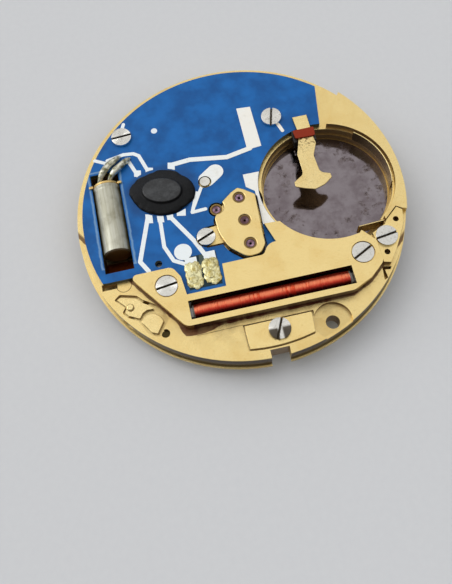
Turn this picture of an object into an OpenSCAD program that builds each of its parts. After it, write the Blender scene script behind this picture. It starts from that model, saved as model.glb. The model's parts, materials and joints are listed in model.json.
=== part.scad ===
// Analogue quartz watch movement with a date, seen from the back, cell and stem taken out.
// The origin is the hand axis at the dial seat. +Z points out of the back, +X runs along
// the coil, and the cell well lies on +X. All sizes are in millimetres.

/* [Main plate] */
// Diameter that the case bore takes
casing_d = 25.6; // [25.2:0.1:26.2]
// Diameter of the lip at the dial seat
lip_d = 26; // [26:0.1:27]
// Height of the lip
lip_h = 0.2; // [0.15:0.05:0.3]
// Height of the plate's top face over the dial seat
plate_top = 1.6; // [1.6:0.02:1.7]
// Height of the web that carries the lower jewels, its dial side
web_low = 0.62; // [0.6:0.01:0.64]
// Thickness of that web
web_t = 0.23; // [0.2:0.01:0.25]
// Height of the raised crescent beside the cell well
crescent_top = 2.1; // [1.8:0.05:2.3]

/* [Cell well] */
// Diameter of the button cell
cell_d = 9.5; // [9.4:0.05:9.6]
// Play all round the cell
cell_play = 0.25; // [0.2:0.05:0.3]
// Distance of the well's centre from the hand axis
well_x = 7; // [6.95:0.05:7.2]
// Height of the well's floor
well_floor = 0.42; // [0.4:0.01:0.5]
// Thickness of the insulating sheet on the floor
sheet_t = 0.04; // [0.03:0.01:0.06]
// How far the board and cover stand back from the well
well_margin = 0.25; // [0.2:0.05:0.4]
// Thickness of the positive contact's block
contact_t = 0.3; // [0.25:0.05:0.4]
// Thickness of the contact strips
strip_t = 0.08; // [0.06:0.01:0.09]

/* [Circuit board] */
// Thickness of the board
board_t = 0.4; // [0.3:0.05:0.4]
// Radius of the board's round edge
board_r = 12.3; // [12:0.1:12.5]
// Thickness of the tracks on it
track_t = 0.03; // [0.02:0.01:0.05]
// Height of the chip's sealed cap
chip_h = 0.45; // [0.3:0.05:0.5]

/* [Crystal] */
// Diameter of the crystal's can
can_d = 2.04; // [1.8:0.02:2.06]
// Length of the can
can_len = 5.95; // [5:0.05:6.2]
// Where the can's axis lies, left of the hand axis
can_x = 10.02; // [9.98:0.02:10.1]
// Height of the can's axis
can_z = 1.46; // [1.44:0.01:1.47]
// Where the can's closed end lies, in front of the hand axis
can_end_y = 2.25; // [2:0.05:2.4]

/* [Module cover] */
// Height of the movement, dial seat to cover
movement_h = 2.5; // [2.45:0.05:2.7]
// Thickness of the cover's sheet
cover_t = 0.4; // [0.3:0.05:0.45]
// Thickness of the cover's skirt
skirt_t = 0.3; // [0.2:0.05:0.35]

/* [Train] */
// Spacing of the arbors from the hand axis to the rotor
train_pitch = 2; // [2:0.02:2.06]
// Third wheel, left of the hand axis
third_x = 1.9; // [1.88:0.02:1.94]
// Third wheel, in front of the hand axis
third_y = 0.4; // [0.36:0.02:0.44]
// Diameter of the arbors
arbor_d = 0.24; // [0.2:0.02:0.26]
// Diameter of the pivots
pivot_d = 0.14; // [0.1:0.02:0.16]
// Thickness of the wheels
wheel_t = 0.1; // [0.08:0.01:0.12]
// Running gap round a pivot
pivot_gap = 0.02; // [0.01:0.005:0.03]
// Diameter of the bridge's jewels
jewel_d = 0.7; // [0.6:0.02:0.74]
// Height of the bridge's raised face
bridge_top = 2.45; // [2.35:0.05:2.5]
// Thickness of the bridge's foot
foot_t = 0.4; // [0.3:0.05:0.4]

/* [Motor] */
// Diameter of the rotor's magnet
magnet_d = 1.2; // [1:0.05:1.25]
// Air gap between the magnet and the stator
air_gap = 0.2; // [0.15:0.05:0.25]
// Thickness of the stator
stator_t = 0.3; // [0.25:0.01:0.35]
// Length of the coil's winding
coil_len = 11.6; // [11:0.1:11.7]
// Diameter of the winding
coil_d = 1.22; // [1.1:0.02:1.26]
// Coil's axis in front of the hand axis
coil_y = 8.25; // [8.2:0.05:8.3]
// Middle of the coil along X
coil_x = 0.65; // [0.6:0.05:0.7]
// Height of the coil's axis
coil_z = 1.72; // [1.7:0.01:1.75]
// Width of the core's strip
core_w = 0.7; // [0.6:0.05:0.75]
// Thickness of the core's strip
core_t = 0.4; // [0.3:0.05:0.45]

/* [Hand posts] */
// Outer diameter of the hour wheel's pipe
hour_pipe_d = 1.2; // [1.16:0.02:1.3]
// Outer diameter of the cannon pinion's pipe
cannon_pipe_d = 0.84; // [0.82:0.01:0.86]
// Outer diameter of the fixed centre tube
centre_tube_d = 0.52; // [0.5:0.01:0.54]
// Diameter of the seconds post
seconds_post_d = 0.2; // [0.18:0.01:0.22]
// How far the hour pipe stands out of the dial seat
hour_post_h = 0.75; // [0.6:0.05:0.85]
// How far the cannon pipe stands out of the dial seat
minute_post_h = 1.15; // [1.05:0.05:1.25]
// How far the seconds post stands out of the dial seat
seconds_post_h = 1.5; // [1.4:0.05:1.7]

/* [Motion work] */
// Distance from the hand axis to the minute wheel
minute_pitch = 2.4; // [2.36:0.02:2.42]
// Distance from the hand axis to the date driving wheel
date_drive_pitch = 4.8; // [4.75:0.05:4.85]
// Bearing of the date driving wheel, anticlockwise from +X
date_drive_angle = 105; // [100:1:112]

/* [Date] */
// Radius of the date ring's tooth tips
ring_tip_r = 8.95; // [8.9:0.05:9]
// Height of the ring's teeth
ring_tooth_h = 0.5; // [0.4:0.05:0.55]
// Outer radius of the ring
ring_r = 11.35; // [11.2:0.05:11.4]
// Inner radius of the ring's numbered band
band_r = 9.75; // [9.7:0.05:9.9]
// Thickness of the ring's toothed part
ring_t = 0.06; // [0.05:0.01:0.07]
// Gap round the ring and over it
ring_gap = 0.04; // [0.03:0.01:0.05]
// Radius of the plate that keeps the ring in
keeper_r = 9.55; // [9.45:0.05:9.6]
// Thickness of that plate
keeper_t = 0.09; // [0.07:0.01:0.1]

/* [Keyless work] */
// Bearing of the winding stem, anticlockwise from +X
stem_angle = 217; // [216.5:0.1:217.5]
// Height of the stem's axis
stem_z = 0.88; // [0.86:0.01:0.9]
// Diameter of the stem's hole
stem_hole_d = 0.92; // [0.9:0.01:0.96]
// Diameter of the sliding pinion's collars
pinion_collar_d = 1.24; // [1.2:0.02:1.26]
// Thickness of the setting lever
lever_t = 0.25; // [0.2:0.01:0.28]
// Travel of the sliding pinion into mesh
pinion_travel = 0.5; // [0.3:0.05:0.55]

/* [Screws] */
// Diameter of the screw heads
head_d = 1.64; // [1.5:0.02:1.66]
// Height of the screw heads
head_h = 0.25; // [0.2:0.01:0.3]
// Diameter of the screw shanks
shank_d = 0.6; // [0.5:0.05:0.65]
// Width of the screwdriver slots
slot_w = 0.2; // [0.14:0.02:0.26]
// Depth of the screwdriver slots
slot_depth = 0.12; // [0.08:0.01:0.14]

/* [Hidden] */
$fn = 64;
cut = 0.05;               // overshoot of a cutting tool past a face
fit = 0.03;               // small running or assembly gap
wide_fit = 0.1;           // gap round a fixed piece in its pocket

gold = "#e6c88a";
brass = "#c9a24e";
steel = "#c9ccd0";
dark_steel = "#8f949b";
board_blue = "#1f5ba3";
silver = "#dfe3e6";
red_wire = "#b5382e";
charcoal = "#2b2d31";
jewel_red = "#7b3a6b";

// Heights
web_top = web_low + web_t;
board_low = plate_top;
board_top = board_low + board_t;
cover_low = movement_h - cover_t;
foot_top = plate_top + foot_t;
keeper_low = 0.02;
keeper_top = keeper_low + keeper_t;
ring_tooth_z = keeper_top + ring_gap;
ring_recess_z = ring_tooth_z + ring_t + ring_gap;
contact_low = crescent_top - contact_t;

// Cell well
well_r = cell_d / 2 + cell_play;
well_edge_r = well_r + well_margin;
well = [well_x, 0];

// Train, with the tooth counts of a 30 to 1 motor train and a 60 to 1 seconds train
seconds_axis = [0, 0];
intermediate_axis = [0, -train_pitch];
rotor_axis = [0, -2 * train_pitch];
third_axis = [-third_x, -third_y];
rotor_teeth = 8;
intermediate_teeth = 40;
intermediate_leaves = 8;
seconds_teeth = 48;
seconds_leaves = 8;
third_teeth = 60;
third_leaves = 8;
centre_teeth = 64;
third_pitch = norm(third_axis);
rotor_mod = module_for(train_pitch, rotor_teeth, intermediate_teeth);
seconds_mod = module_for(train_pitch, intermediate_leaves, seconds_teeth);
third_mod = module_for(third_pitch, seconds_leaves, third_teeth);
centre_mod = module_for(third_pitch, third_leaves, centre_teeth);

// Heights of the wheels, from the web up
third_z = web_top + 0.07;
seconds_z = third_z + wheel_t + 0.1;
intermediate_z = plate_top - 0.08 - wheel_t;
seconds_pinion_z = web_top + 0.03;
intermediate_pinion_z = seconds_z - 0.04;
rotor_pinion_z = intermediate_z - 0.05;
magnet_z = web_top + 0.05;
magnet_h = intermediate_z - magnet_z - 0.12;
stator_z = web_top + 0.15;

// Heights of the dial side, from the web down
centre_wheel_z = web_low - 0.02 - wheel_t;
cannon_leaf_z = centre_wheel_z - 0.14;
minute_wheel_z = cannon_leaf_z + 0.03;
hour_pinion_z = keeper_top + fit;
date_drive_z = keeper_top + fit;
date_drive_t = 0.08;
hour_wheel_z = date_drive_z + date_drive_t + fit;

// Motion work, 12 to 1, and the date drive, 2 to 1
cannon_teeth = 12;
minute_teeth = 36;
minute_leaves = 10;
hour_teeth = 40;
hour_leaves = 24;
date_drive_teeth = 48;
minute_angle = stem_angle;
minute_axis = minute_pitch * direction(minute_angle);
minute_mod = module_for(minute_pitch, cannon_teeth, minute_teeth);
hour_mod = module_for(minute_pitch, minute_leaves, hour_teeth);
date_drive_mod = module_for(date_drive_pitch, hour_leaves, date_drive_teeth);
date_drive_axis = date_drive_pitch * direction(date_drive_angle);
setting_teeth = 24;
setting_pitch = minute_mod * (minute_teeth + setting_teeth) / 2;
setting_axis = (minute_pitch + setting_pitch) * direction(stem_angle);
post_d = 0.4;
post_low = keeper_top + 0.01;

// Date ring
ring_teeth = 31;
ring_root_r = ring_tip_r + ring_tooth_h;
ring_low = keeper_low + 0.01;
jumper_angle = -60;

// Keyless work, on the stem's line
stem = direction(stem_angle);
beside_stem = direction(stem_angle - 90);
pinion_far = 8.4;
pinion_near = 7.3;
pinion_groove = [7.75, 8.1];
groove_d = 0.8;
stem_hole_end = 9.3;
lever_pivot = [-9.76, -6.68];
lever_pivot_d = 0.44;
lever_low = plate_top - 0.05 - lever_t;
lever_post_low = lever_low - 0.05;
yoke_low = stem_z + groove_d / 2 + 0.03;
yoke_t = 0.14;
yoke_pivot = 7.9 * stem + 3 * beside_stem;

// Screw places
board_screw_places = [[-8.09, 7.9], [4.18, 6.81]];
cover_screw_places = [[-6.76, -5.99], [7.88, -6.71]];
bridge_screw_place = [-3.12, -2.58];
contact_screw_place = [10.01, -5.72];
clamp_screw_place = [0.59, -10.85];
jumper_screw_place = [-7.54, -9.27];
keeper_screw_places = [for (a = [62, 180, 242]) 7.4 * direction(a)];
casing_screw_place = [4.5, -11.07];
foot_pin_places = [[11.13, -4.47], [9.72, -6.94]];

// Negative contact
finger_z = 2.1;
finger_t = 0.1;

function direction(a) = [cos(a), sin(a)];
function module_for(distance, teeth_a, teeth_b) = 2 * distance / (teeth_a + teeth_b);
function unit(v) = v / norm(v);
function flat(lists) = [for (l = lists) for (p = l) p];

// Points of an arc
function arc(centre, r, from, to, steps = 24) =
    [for (i = [0 : steps]) centre + r * direction(from + (to - from) * i / steps)];

// Corner points given as [x, y, radius] become a smooth outline
function corner(p, c, n, steps) =
    let (a = unit([p.x - c.x, p.y - c.y]), b = unit([n.x - c.x, n.y - c.y]))
    let (half = acos(a * b) / 2, centre = [c.x, c.y] + unit(a + b) * c.z / sin(half))
    let (start = [c.x, c.y] + a * c.z / tan(half) - centre)
    let (end = [c.x, c.y] + b * c.z / tan(half) - centre)
    let (from = atan2(start.y, start.x), sweep = (atan2(end.y, end.x) - from + 540) % 360 - 180)
    [for (j = [0 : steps]) centre + c.z * direction(from + sweep * j / steps)];
function rounded(points, steps = 8) =
    let (n = len(points))
    flat([for (i = [0 : n - 1]) points[i].z > 0
        ? corner(points[(i + n - 1) % n], points[i], points[(i + 1) % n], steps)
        : [[points[i].x, points[i].y]]]);

// An anticlockwise outline pushed outwards by g
function grown(points, g) =
    let (n = len(points))
    [for (i = [0 : n - 1])
        let (a = points[(i + n - 1) % n], b = points[i], c = points[(i + 1) % n])
        let (u = unit([b.y - a.y, a.x - b.x]), v = unit([c.y - b.y, b.x - c.x]))
        let (p = [b.x, b.y] + g * (u + v) / (1 + u * v))
        [p.x, p.y, b.z > 0 ? b.z + g : 0]];

// How a wheel is turned so that it meshes with its neighbour at the given bearing
function mesh_turn(teeth_a, turn_a, teeth_b, bearing) =
    bearing + 180 - (0.5 - (bearing - turn_a) * teeth_a / 360) * 360 / teeth_b;
function bearing(from, to) = atan2(to.y - from.y, to.x - from.x);

function gear_points(teeth, mod) =
    let (pitch_r = teeth * mod / 2, tip_r = pitch_r + 0.9 * mod, root_r = pitch_r - 1.15 * mod)
    let (step = 360 / teeth)
    flat([for (i = [0 : teeth - 1]) [
        root_r * direction((i - 0.3) * step),
        tip_r * direction((i - 0.11) * step),
        tip_r * direction((i + 0.11) * step),
        root_r * direction((i + 0.3) * step)]]);
function gear_tip(teeth, mod) = teeth * mod / 2 + 0.9 * mod;

module at(place, z = 0) {
    translate([place.x, place.y, z]) children();
}

module plate(points, low, high) {
    translate([0, 0, low]) linear_extrude(high - low) polygon(points);
}

module rod(d, low, high) {
    translate([0, 0, low]) cylinder(d = d, h = high - low);
}

module tube(d_out, d_in, low, high) {
    difference() {
        rod(d_out, low, high);
        rod(d_in, low - cut, high + cut);
    }
}

// A toothed wheel with spokes between hub and rim
module wheel(teeth, mod, low, t, bore_d, turn = 0, spokes = 4) {
    rim_r = teeth * mod / 2 - 2.2 * mod;
    hub_r = bore_d / 2 + 0.16;
    rotate(turn) difference() {
        plate(gear_points(teeth, mod), low, low + t);
        rod(bore_d, low - cut, low + t + cut);
        if (spokes > 0) for (i = [0 : spokes - 1]) rotate(i * 360 / spokes) difference() {
            plate(concat(arc([0, 0], rim_r, 12, 360 / spokes - 12, 6),
                         arc([0, 0], hub_r, 360 / spokes - 24, 24, 4)), low - cut, low + t + cut);
        }
    }
}

// A leaf pinion cut on its arbor, with a pivot at each end
module pinion(teeth, mod, low, high, arbor_low, arbor_high, pivot = 0.12, turn = 0) {
    rotate(turn) plate(gear_points(teeth, mod), low, high);
    rod(arbor_d, arbor_low, low);
    rod(arbor_d, high, arbor_high);
    rod(pivot_d, arbor_low - pivot, arbor_low);
    rod(pivot_d, arbor_high, arbor_high + pivot);
}

// A slotted cheese-head screw whose head stands on the height given
module screw(place, seat, shank, slot_angle = 0, d = head_d) {
    at(place, seat) {
        difference() {
            cylinder(d = d, h = head_h);
            rotate(slot_angle) translate([-d, -slot_w / 2, head_h - slot_depth]) cube([2 * d, slot_w, head_h]);
        }
        translate([0, 0, -shank]) cylinder(d = shank_d, h = shank);
    }
}

module screw_hole(place, low, high) {
    at(place) rod(shank_d + 2 * fit, low, high);
}

// Outlines, anticlockwise, as [x, y, corner radius]
bridge_outline = [
    [-2.2, -1.3, 0.6], [-2.14, -2.6, 2.2], [-1.66, -3.95, 2], [-0.45, -5.08, 1], [0.6, -5, 0.7],
    [1.1, -4.3, 0.6], [1.1, -3.6, 0], [1.28, 0, 0.15], [0.5, 0.62, 0.1], [0.05, 0.88, 0.15],
    [-0.5, 0.6, 0.3], [-1.25, 0.02, 0.1], [-1.9, -0.9, 0.2]];
bridge_screw_seat_d = 1.3;
foot_strip = [[-3.1, -3.3, 0], [-1.5, -3.3, 0], [-1.5, -1.7, 0], [-3.1, -1.85, 0]];
cover_corners = [
    [1.32, -4.3, 0.9], [0.75, -5.2, 0.4], [-2.42, -5.2, 0], [-2.5, -7, 0], [-5.43, -7, 0],
    [-5.6, -5.5, 0.8], [-6.1, -4.6, 0.6], [-9.4, -4.6, 0.3], [-5.9, -9.42, 0.7], [6.5, -9.44, 0.8],
    [7.95, -8.75, 0.8], [9.12, -7.75, 0.6], [9.12, -6, 0.6], [8.3, -4.98, 0.2]];
cover_outline = concat(rounded(cover_corners), arc(well, well_edge_r, -78, -148, 24), [[1.36, -2.7]]);

core_near = coil_len / 2 + 0.2;
core_far = coil_len / 2 + 1;
core_end_y = -coil_y - 0.75;
stator_arms = [
    [coil_x - core_far, core_end_y, 0.2], [coil_x - core_near, core_end_y, 0.2],
    [coil_x - core_near, -7.2, 0.3], [-1.2, -5.4, 0.6], [1.2, -5.4, 0.6], [coil_x + core_near, -7.2, 0.3],
    [coil_x + core_near, core_end_y, 0.2], [coil_x + core_far, core_end_y, 0.2],
    [coil_x + core_far, -6.9, 0.4], [1.6, -4, 0.8], [1.2, -2.9, 0.5], [-1.2, -2.9, 0.5],
    [-1.6, -4, 0.8], [coil_x - core_far, -6.7, 0.4]];

module main_plate() {
    color(gold) difference() {
        union() {
            cylinder(d = lip_d, h = lip_h, $fn = 180);
            cylinder(d = casing_d, h = plate_top, $fn = 180);
            crescent();
        }
        at(well) rod(2 * well_r, well_floor, crescent_top + cut);
        at(well) rod(2 * well_edge_r, plate_top, crescent_top + cut);
        at(well) rod(2 * (strip_r + strip_t + 0.02), strip_z[0], crescent_top + cut);
        plate(spring_slot, strip_z[0] - fit, crescent_top + cut);
        train_pockets();
        motor_pockets();
        crystal_pocket();
        keyless_pockets();
        dial_side_pockets();
        rim_features();
        for (p = board_screw_places) screw_hole(p, web_top, plate_top + cut);
        for (p = cover_screw_places) screw_hole(p, web_top, plate_top + cut);
        screw_hole(bridge_screw_place, web_top, plate_top + cut);
        screw_hole(contact_screw_place, web_top, crescent_top + cut);
        screw_hole(clamp_screw_place, web_top - 0.1, plate_top + cut);
        screw_hole(jumper_screw_place, web_top, plate_top + cut);
        at(board_stud_place) rod(0.5, web_top, plate_top + cut);
    }
}

// The plate stands higher between the cell well and the rim
module crescent() {
    points = concat(arc([0, 0], casing_d, -16.5, 48, 6), [well + (well_edge_r - 0.2) * direction(76)],
                    [well], crescent_end);
    intersection() {
        plate(points, plate_top - 0.1, crescent_top);
        cylinder(d = casing_d, h = crescent_top, $fn = 180);
    }
    plate(contact_outline, plate_top - 0.1, contact_low);
}
crescent_end = [[10.42, -4.28], [11.44, -3.4], [11.9, -3.7]];
contact_outline = [
    [9.22, -7.66], [9.76, -7.81], [10.37, -7], [11, -5.96], [11.64, -4.82], [11.85, -3.81], [11.46, -3.48],
    [10.45, -4.36], [10.2, -4.68], [9.1, -5.2], [9.24, -6.2]];

module train_pockets() {
    seconds_r = gear_tip(seconds_teeth, seconds_mod) + wide_fit;
    third_r = gear_tip(third_teeth, third_mod) + wide_fit;
    intermediate_r = gear_tip(intermediate_teeth, rotor_mod) + wide_fit;
    at(seconds_axis) rod(2 * seconds_r, web_top, plate_top + cut);
    at(third_axis) rod(2 * third_r, web_top, plate_top + cut);
    at(intermediate_axis) rod(2 * intermediate_r, intermediate_z - 0.04, plate_top + cut);
    at(intermediate_axis) rod(1, web_top, plate_top);
    at(seconds_axis) rod(centre_tube_d, web_low - cut, web_top + cut);
    at(third_axis) rod(jewel_d, web_low - cut, web_top + cut);
    at(intermediate_axis) rod(jewel_d, web_low, web_top + cut);
    at(rotor_axis) rod(jewel_d, web_low, web_top + cut);
}

// Bed of the stator and trough of the coil
module motor_pockets() {
    plate(rounded(grown(stator_arms, wide_fit)), stator_z, plate_top + cut);
    at(rotor_axis) rod(magnet_d + 2 * air_gap + 0.4, web_top, plate_top + cut);
    trough_w = coil_d + 0.3;
    translate([coil_x - coil_len / 2 - 0.3, -coil_y - trough_w / 2, coil_z - coil_d / 2 - 0.06])
        cube([coil_len + 0.6, trough_w, plate_top]);
}

can_slot_gap = 0.09;
module crystal_pocket() {
    w = can_d + 2 * can_slot_gap;
    translate([-can_x - w / 2, -can_end_y - 1.55, can_z - can_d / 2 - 0.09]) cube([w, can_len + 2.8, plate_top]);
}

module along_stem(from, to, d) {
    translate([from * stem.x, from * stem.y, stem_z]) rotate([0, 90, stem_angle]) cylinder(d = d, h = to - from);
}

module keyless_pockets() {
    along_stem(stem_hole_end - cut, casing_d / 2 + 1, stem_hole_d);
    translate([0, 0, stem_z]) rotate([0, 0, stem_angle])
        translate([pinion_near - pinion_travel - 0.1, -0.75, -0.72]) cube([2.45 + pinion_travel, 1.5, plate_top]);
    plate(rounded(lever_pocket), lever_low - 0.02, plate_top + cut);
    plate(rounded(yoke_pocket), yoke_low - 0.03, plate_top + cut);
    at(yoke_pivot) rod(1.3, yoke_low - 0.03, plate_top + cut);
    at(lever_pivot) rod(lever_pivot_d, lever_post_low, plate_top);
    at(yoke_pivot) rod(0.4, web_top, plate_top);
    plate(board_step, board_step_z, plate_top + cut);
}
board_step = [[-11.6, -4.95], [-10.45, -4.95], [-10.45, -4.45], [-11.6, -4.45]];
board_step_z = plate_top - 0.5;
lever_pocket = [
    [-10.85, -5.86, 0.1], [-10.4, -5.5, 0.2], [-9.15, -5.86, 0.4], [-8.75, -6.3, 0.3], [-7.9, -6.85, 0.3],
    [-7.3, -7.7, 0.4], [-7.16, -8.3, 0.2], [-7.95, -9.38, 0.1], [-8.14, -9.4, 0.1], [-8.8, -8.98, 0.3],
    [-9.2, -8.15, 0.4], [-9.32, -7.86, 0.1], [-10.05, -7.45, 0.3], [-10.42, -7, 0.2], [-10.12, -6.62, 0]];
lever_outline = [
    [-10.66, -5.86, 0.02], [-10.37, -5.72, 0.15], [-9.23, -6.06, 0.3], [-8.85, -6.5, 0.2],
    [-8.51, -6.72, 0.15], [-8.05, -7.16, 0.04], [-8.58, -7.12, 0.3], [-8.95, -7.32, 0.3],
    [-9.2, -7.68, 0.08], [-9.98, -7.28, 0.25], [-10.22, -6.98, 0.15], [-9.98, -6.62, 0.05]];
jumper_outline = [
    [-9.14, -7.95, 0.15], [-8.9, -7.66, 0.4], [-8.58, -7.48, 0.4], [-8.11, -7.5, 0.5], [-7.69, -7.84, 0.3],
    [-7.5, -8.25, 0.15], [-8.1, -9.14, 0.06], [-8.52, -8.95, 0.2], [-8.74, -8.58, 0.3], [-9.02, -8.15, 0.3]];
yoke_pocket = [
    [yoke_pivot.x - 0.8, yoke_pivot.y + 0.2, 0.4], [yoke_pivot.x - 0.3, yoke_pivot.y - 0.9, 0.3],
    [-7.5, -4.7, 0.3], [-6.9, -5.6, 0.2], [-5.5, -4.6, 0.2], [-6.5, -3.5, 0.3],
    [yoke_pivot.x + 0.7, yoke_pivot.y + 0.6, 0.4]];

module dial_side_pockets() {
    difference() {
        rod(2 * (ring_r + ring_gap), -cut, ring_recess_z);
        rod(2 * (ring_tip_r - ring_gap), -2 * cut, ring_recess_z + cut);
    }
    rod(2 * (keeper_r + fit), -cut, keeper_top);
    at(seconds_axis) rod(2 * (gear_tip(hour_teeth, hour_mod) + wide_fit), -cut, web_low);
    at(third_axis) rod(0.8, keeper_top - cut, web_low);
    minute_pocket_r = gear_tip(minute_teeth, minute_mod) + wide_fit;
    setting_pocket_r = gear_tip(setting_teeth, minute_mod) + wide_fit;
    pocket_top = minute_wheel_z + wheel_t + 0.04;
    at(minute_axis) rod(2 * minute_pocket_r, -cut, pocket_top);
    at(setting_axis) rod(2 * setting_pocket_r, -cut, pocket_top);
    // The two pockets open into each other with no cusp between them
    waist = (setting_pitch ^ 2 + minute_pocket_r ^ 2 - setting_pocket_r ^ 2) / (2 * setting_pitch);
    waist_w = 2 * sqrt(minute_pocket_r ^ 2 - waist ^ 2) + 0.2;
    at(minute_axis) rotate(stem_angle) translate([waist - 0.4, -waist_w / 2, -cut])
        cube([0.8, waist_w, pocket_top + cut]);
    at(date_drive_axis) rod(2 * (gear_tip(date_drive_teeth, date_drive_mod) + wide_fit), -cut, ring_recess_z);
    at(date_drive_axis) rod(2 * (date_finger_r + wide_fit), keeper_top - cut, ring_recess_z);
    at(minute_axis) rod(post_d, 0, web_low);
    at(setting_axis) rod(post_d, 0, web_low);
    at(date_drive_axis) rod(post_d, 0, web_low);
    plate(rounded(date_jumper_pocket), keeper_top - cut, ring_recess_z);
    at(jumper_pivot) rod(post_d, 0, web_low);
    for (p = keeper_screw_places) at(p) rod(shank_d + 2 * fit, -cut, web_low - 0.14);
}
date_finger_r = ring_tip_r + 0.3 - date_drive_pitch;
jumper_pivot = 6.6 * direction(jumper_angle - 18);
date_jumper_pocket = [
    [for (p = [(ring_tip_r + 0.1) * direction(jumper_angle + 5)]) each [p.x, p.y, 0.1]],
    [for (p = [6.5 * direction(jumper_angle + 3)]) each [p.x, p.y, 0.2]],
    [for (p = [5.7 * direction(jumper_angle - 20)]) each [p.x, p.y, 0.3]],
    [for (p = [7.4 * direction(jumper_angle - 26)]) each [p.x, p.y, 0.3]],
    [for (p = [(ring_tip_r + 0.1) * direction(jumper_angle - 6)]) each [p.x, p.y, 0.1]]];

module rim_features() {
    // Casing-screw hole with its counterbore, open to the rim
    at(casing_screw_place) rod(1.03, -cut, plate_top + cut);
    at(casing_screw_place) rod(2.85, plate_top - 0.35, plate_top + cut);
    // Holes of the dial feet
    for (p = foot_pin_places) at(p) rod(0.42, -cut, crescent_top + cut);
    // Notch that turns the movement the right way in its case
    translate([-0.45, -casing_d / 2 - 1, -cut]) cube([1.42, 1.6, plate_top + 2 * cut]);
    // Seat of the clamp plate
    plate(clamp_seat, clamp_low, plate_top + cut);
    // Shallow bed beside the clamp plate
    plate(shallow_bed, plate_top - 0.06, plate_top + cut);
    // Dark slots past the end of the contact
    plate(dark_slots, web_top, plate_top + cut);
}
shallow_bed = [[-5.36, -9.95], [-5.16, -11.45], [-3.6, -11.82], [-1.95, -12.02], [-1.95, -9.9]];
dark_slots = [[9, -8.9], [9.3, -8.75], [9.25, -8.1], [9.66, -8.15], [9.8, -7.95], [9.12, -7.8]];
clamp_low = plate_top - 0.3;
clamp_top = plate_top + 0.1;
clamp_outline = concat([[-1.87, -10.05]], arc([0, 0], 12, 261.2, 284.7, 10), [[3.15, -10.05]]);
clamp_seat = concat([[-1.95, -9.95], [-1.95, -11.4]], arc([0, 0], 12.1, 260.8, 285.5, 10), [[3.3, -9.95]]);

module centre_tube() {
    color(steel) tube(centre_tube_d, seconds_post_d + 2 * pivot_gap, -minute_post_h, web_top);
}

module wheel_posts() {
    color(steel) {
        at(minute_axis) rod(post_d, post_low, web_low);
        at(setting_axis) rod(post_d, post_low, web_low);
        at(date_drive_axis) rod(post_d, post_low, web_low);
        at(jumper_pivot) rod(post_d, post_low, web_low);
        at(yoke_pivot) rod(0.4, web_top, yoke_low + yoke_t + 0.03);
    }
}

module jewel(place, low, high, d = jewel_d) {
    at(place) difference() {
        rod(d, low, high);
        rod(pivot_d + 2 * pivot_gap, low - cut, high + cut);
        at([0, 0]) translate([0, 0, high - 0.06]) cylinder(d1 = pivot_d, d2 = d * 0.7, h = 0.06 + 0.001);
    }
}

module plate_jewels() {
    color(jewel_red) {
        jewel(intermediate_axis, web_low, web_top);
        jewel(rotor_axis, web_low, web_top);
        at(third_axis) tube(jewel_d, arbor_d + 2 * pivot_gap, web_low, web_top);
    }
}

module battery_insulator() {
    color("#8a8284") at(well) rod(2 * (well_r - 0.08), well_floor, well_floor + sheet_t);
}

module negative_contact_clip() {
    color(gold) plate([[5.9, 4.95], [7.0, 4.95], [7.0, 6.3], [5.8, 6.3]], board_top + track_t, finger_z + finger_t);
}

module contact_insulator() {
    color("#a2512e")
        plate(rounded([[5.5, 4.95, 0.1], [5.55, 4.2, 0.15], [7.15, 4.15, 0.15], [7.2, 4.95, 0.1]]),
              finger_z + finger_t + 0.02, finger_z + finger_t + 0.12);
}

// The finger springs up in the empty well and is pressed flat by the cell
module negative_contact() {
    color(gold) plate(rounded([
        [5.95, 4.9, 0], [5.7, 3.85, 0.3], [5.34, 2.8, 0.8], [5.36, 0.95, 0.5], [4.5, 0.4, 0.15],
        [4.5, -0.02, 0.15], [5.2, -0.33, 0.4], [5.95, -0.58, 0.3], [6.75, -0.34, 0.5], [7.44, 0.16, 0.15],
        [7.43, 0.52, 0.14], [6.68, 0.8, 0.5], [6.58, 2.4, 0.7], [7.06, 3.5, 0.3], [6.9, 4.9, 0]]),
        finger_z, finger_z + finger_t);
}

strip_z = [0.95, crescent_top - 0.12];
strip_r = well_r;
spring_root = [10.28, -4.3];
spring_tip = [8.34, -4.5];
spring_slot = [[8.2, -4.75], [9.05, -5.15], [10.1, -4.75], [10.4, -4.4], [10.38, -4.05], [8.3, -3.9]];
module positive_contact() {
    color(gold) difference() {
        plate(contact_outline, contact_low, crescent_top);
        screw_hole(contact_screw_place, 0, movement_h);
        for (p = foot_pin_places) at(p) rod(0.42, 0, movement_h);
    }
}

// Strip that lines the well's wall
module positive_strip() {
    color(gold) plate(concat(arc(well, strip_r + strip_t, -14, 50, 30), arc(well, strip_r, 50, -14, 30)),
                      strip_z[0], strip_z[1]);
}

// Upright blade that leans on the cell's side and yields outwards
module positive_spring() {
    along = unit(spring_tip - spring_root);
    side = [along.y, -along.x];
    color(gold) plate([spring_root, spring_tip + 0.12 * side + 0.1 * along, spring_tip + (0.12 - strip_t) * side,
                       spring_root - strip_t * side], strip_z[0], crescent_top - 0.02);
}

module contact_screw() {
    color(steel) screw(contact_screw_place, crescent_top, 1.1, 8);
}

board_lower = [
    [-11.1, -4.55], [-8.7, -4.55], [-8.3, -4.9], [-7.1, -6.7], [-2.1, -7.0], [-1.9, -5.4], [1.15, -5.1],
    [1.45, -4.5]];

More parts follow.
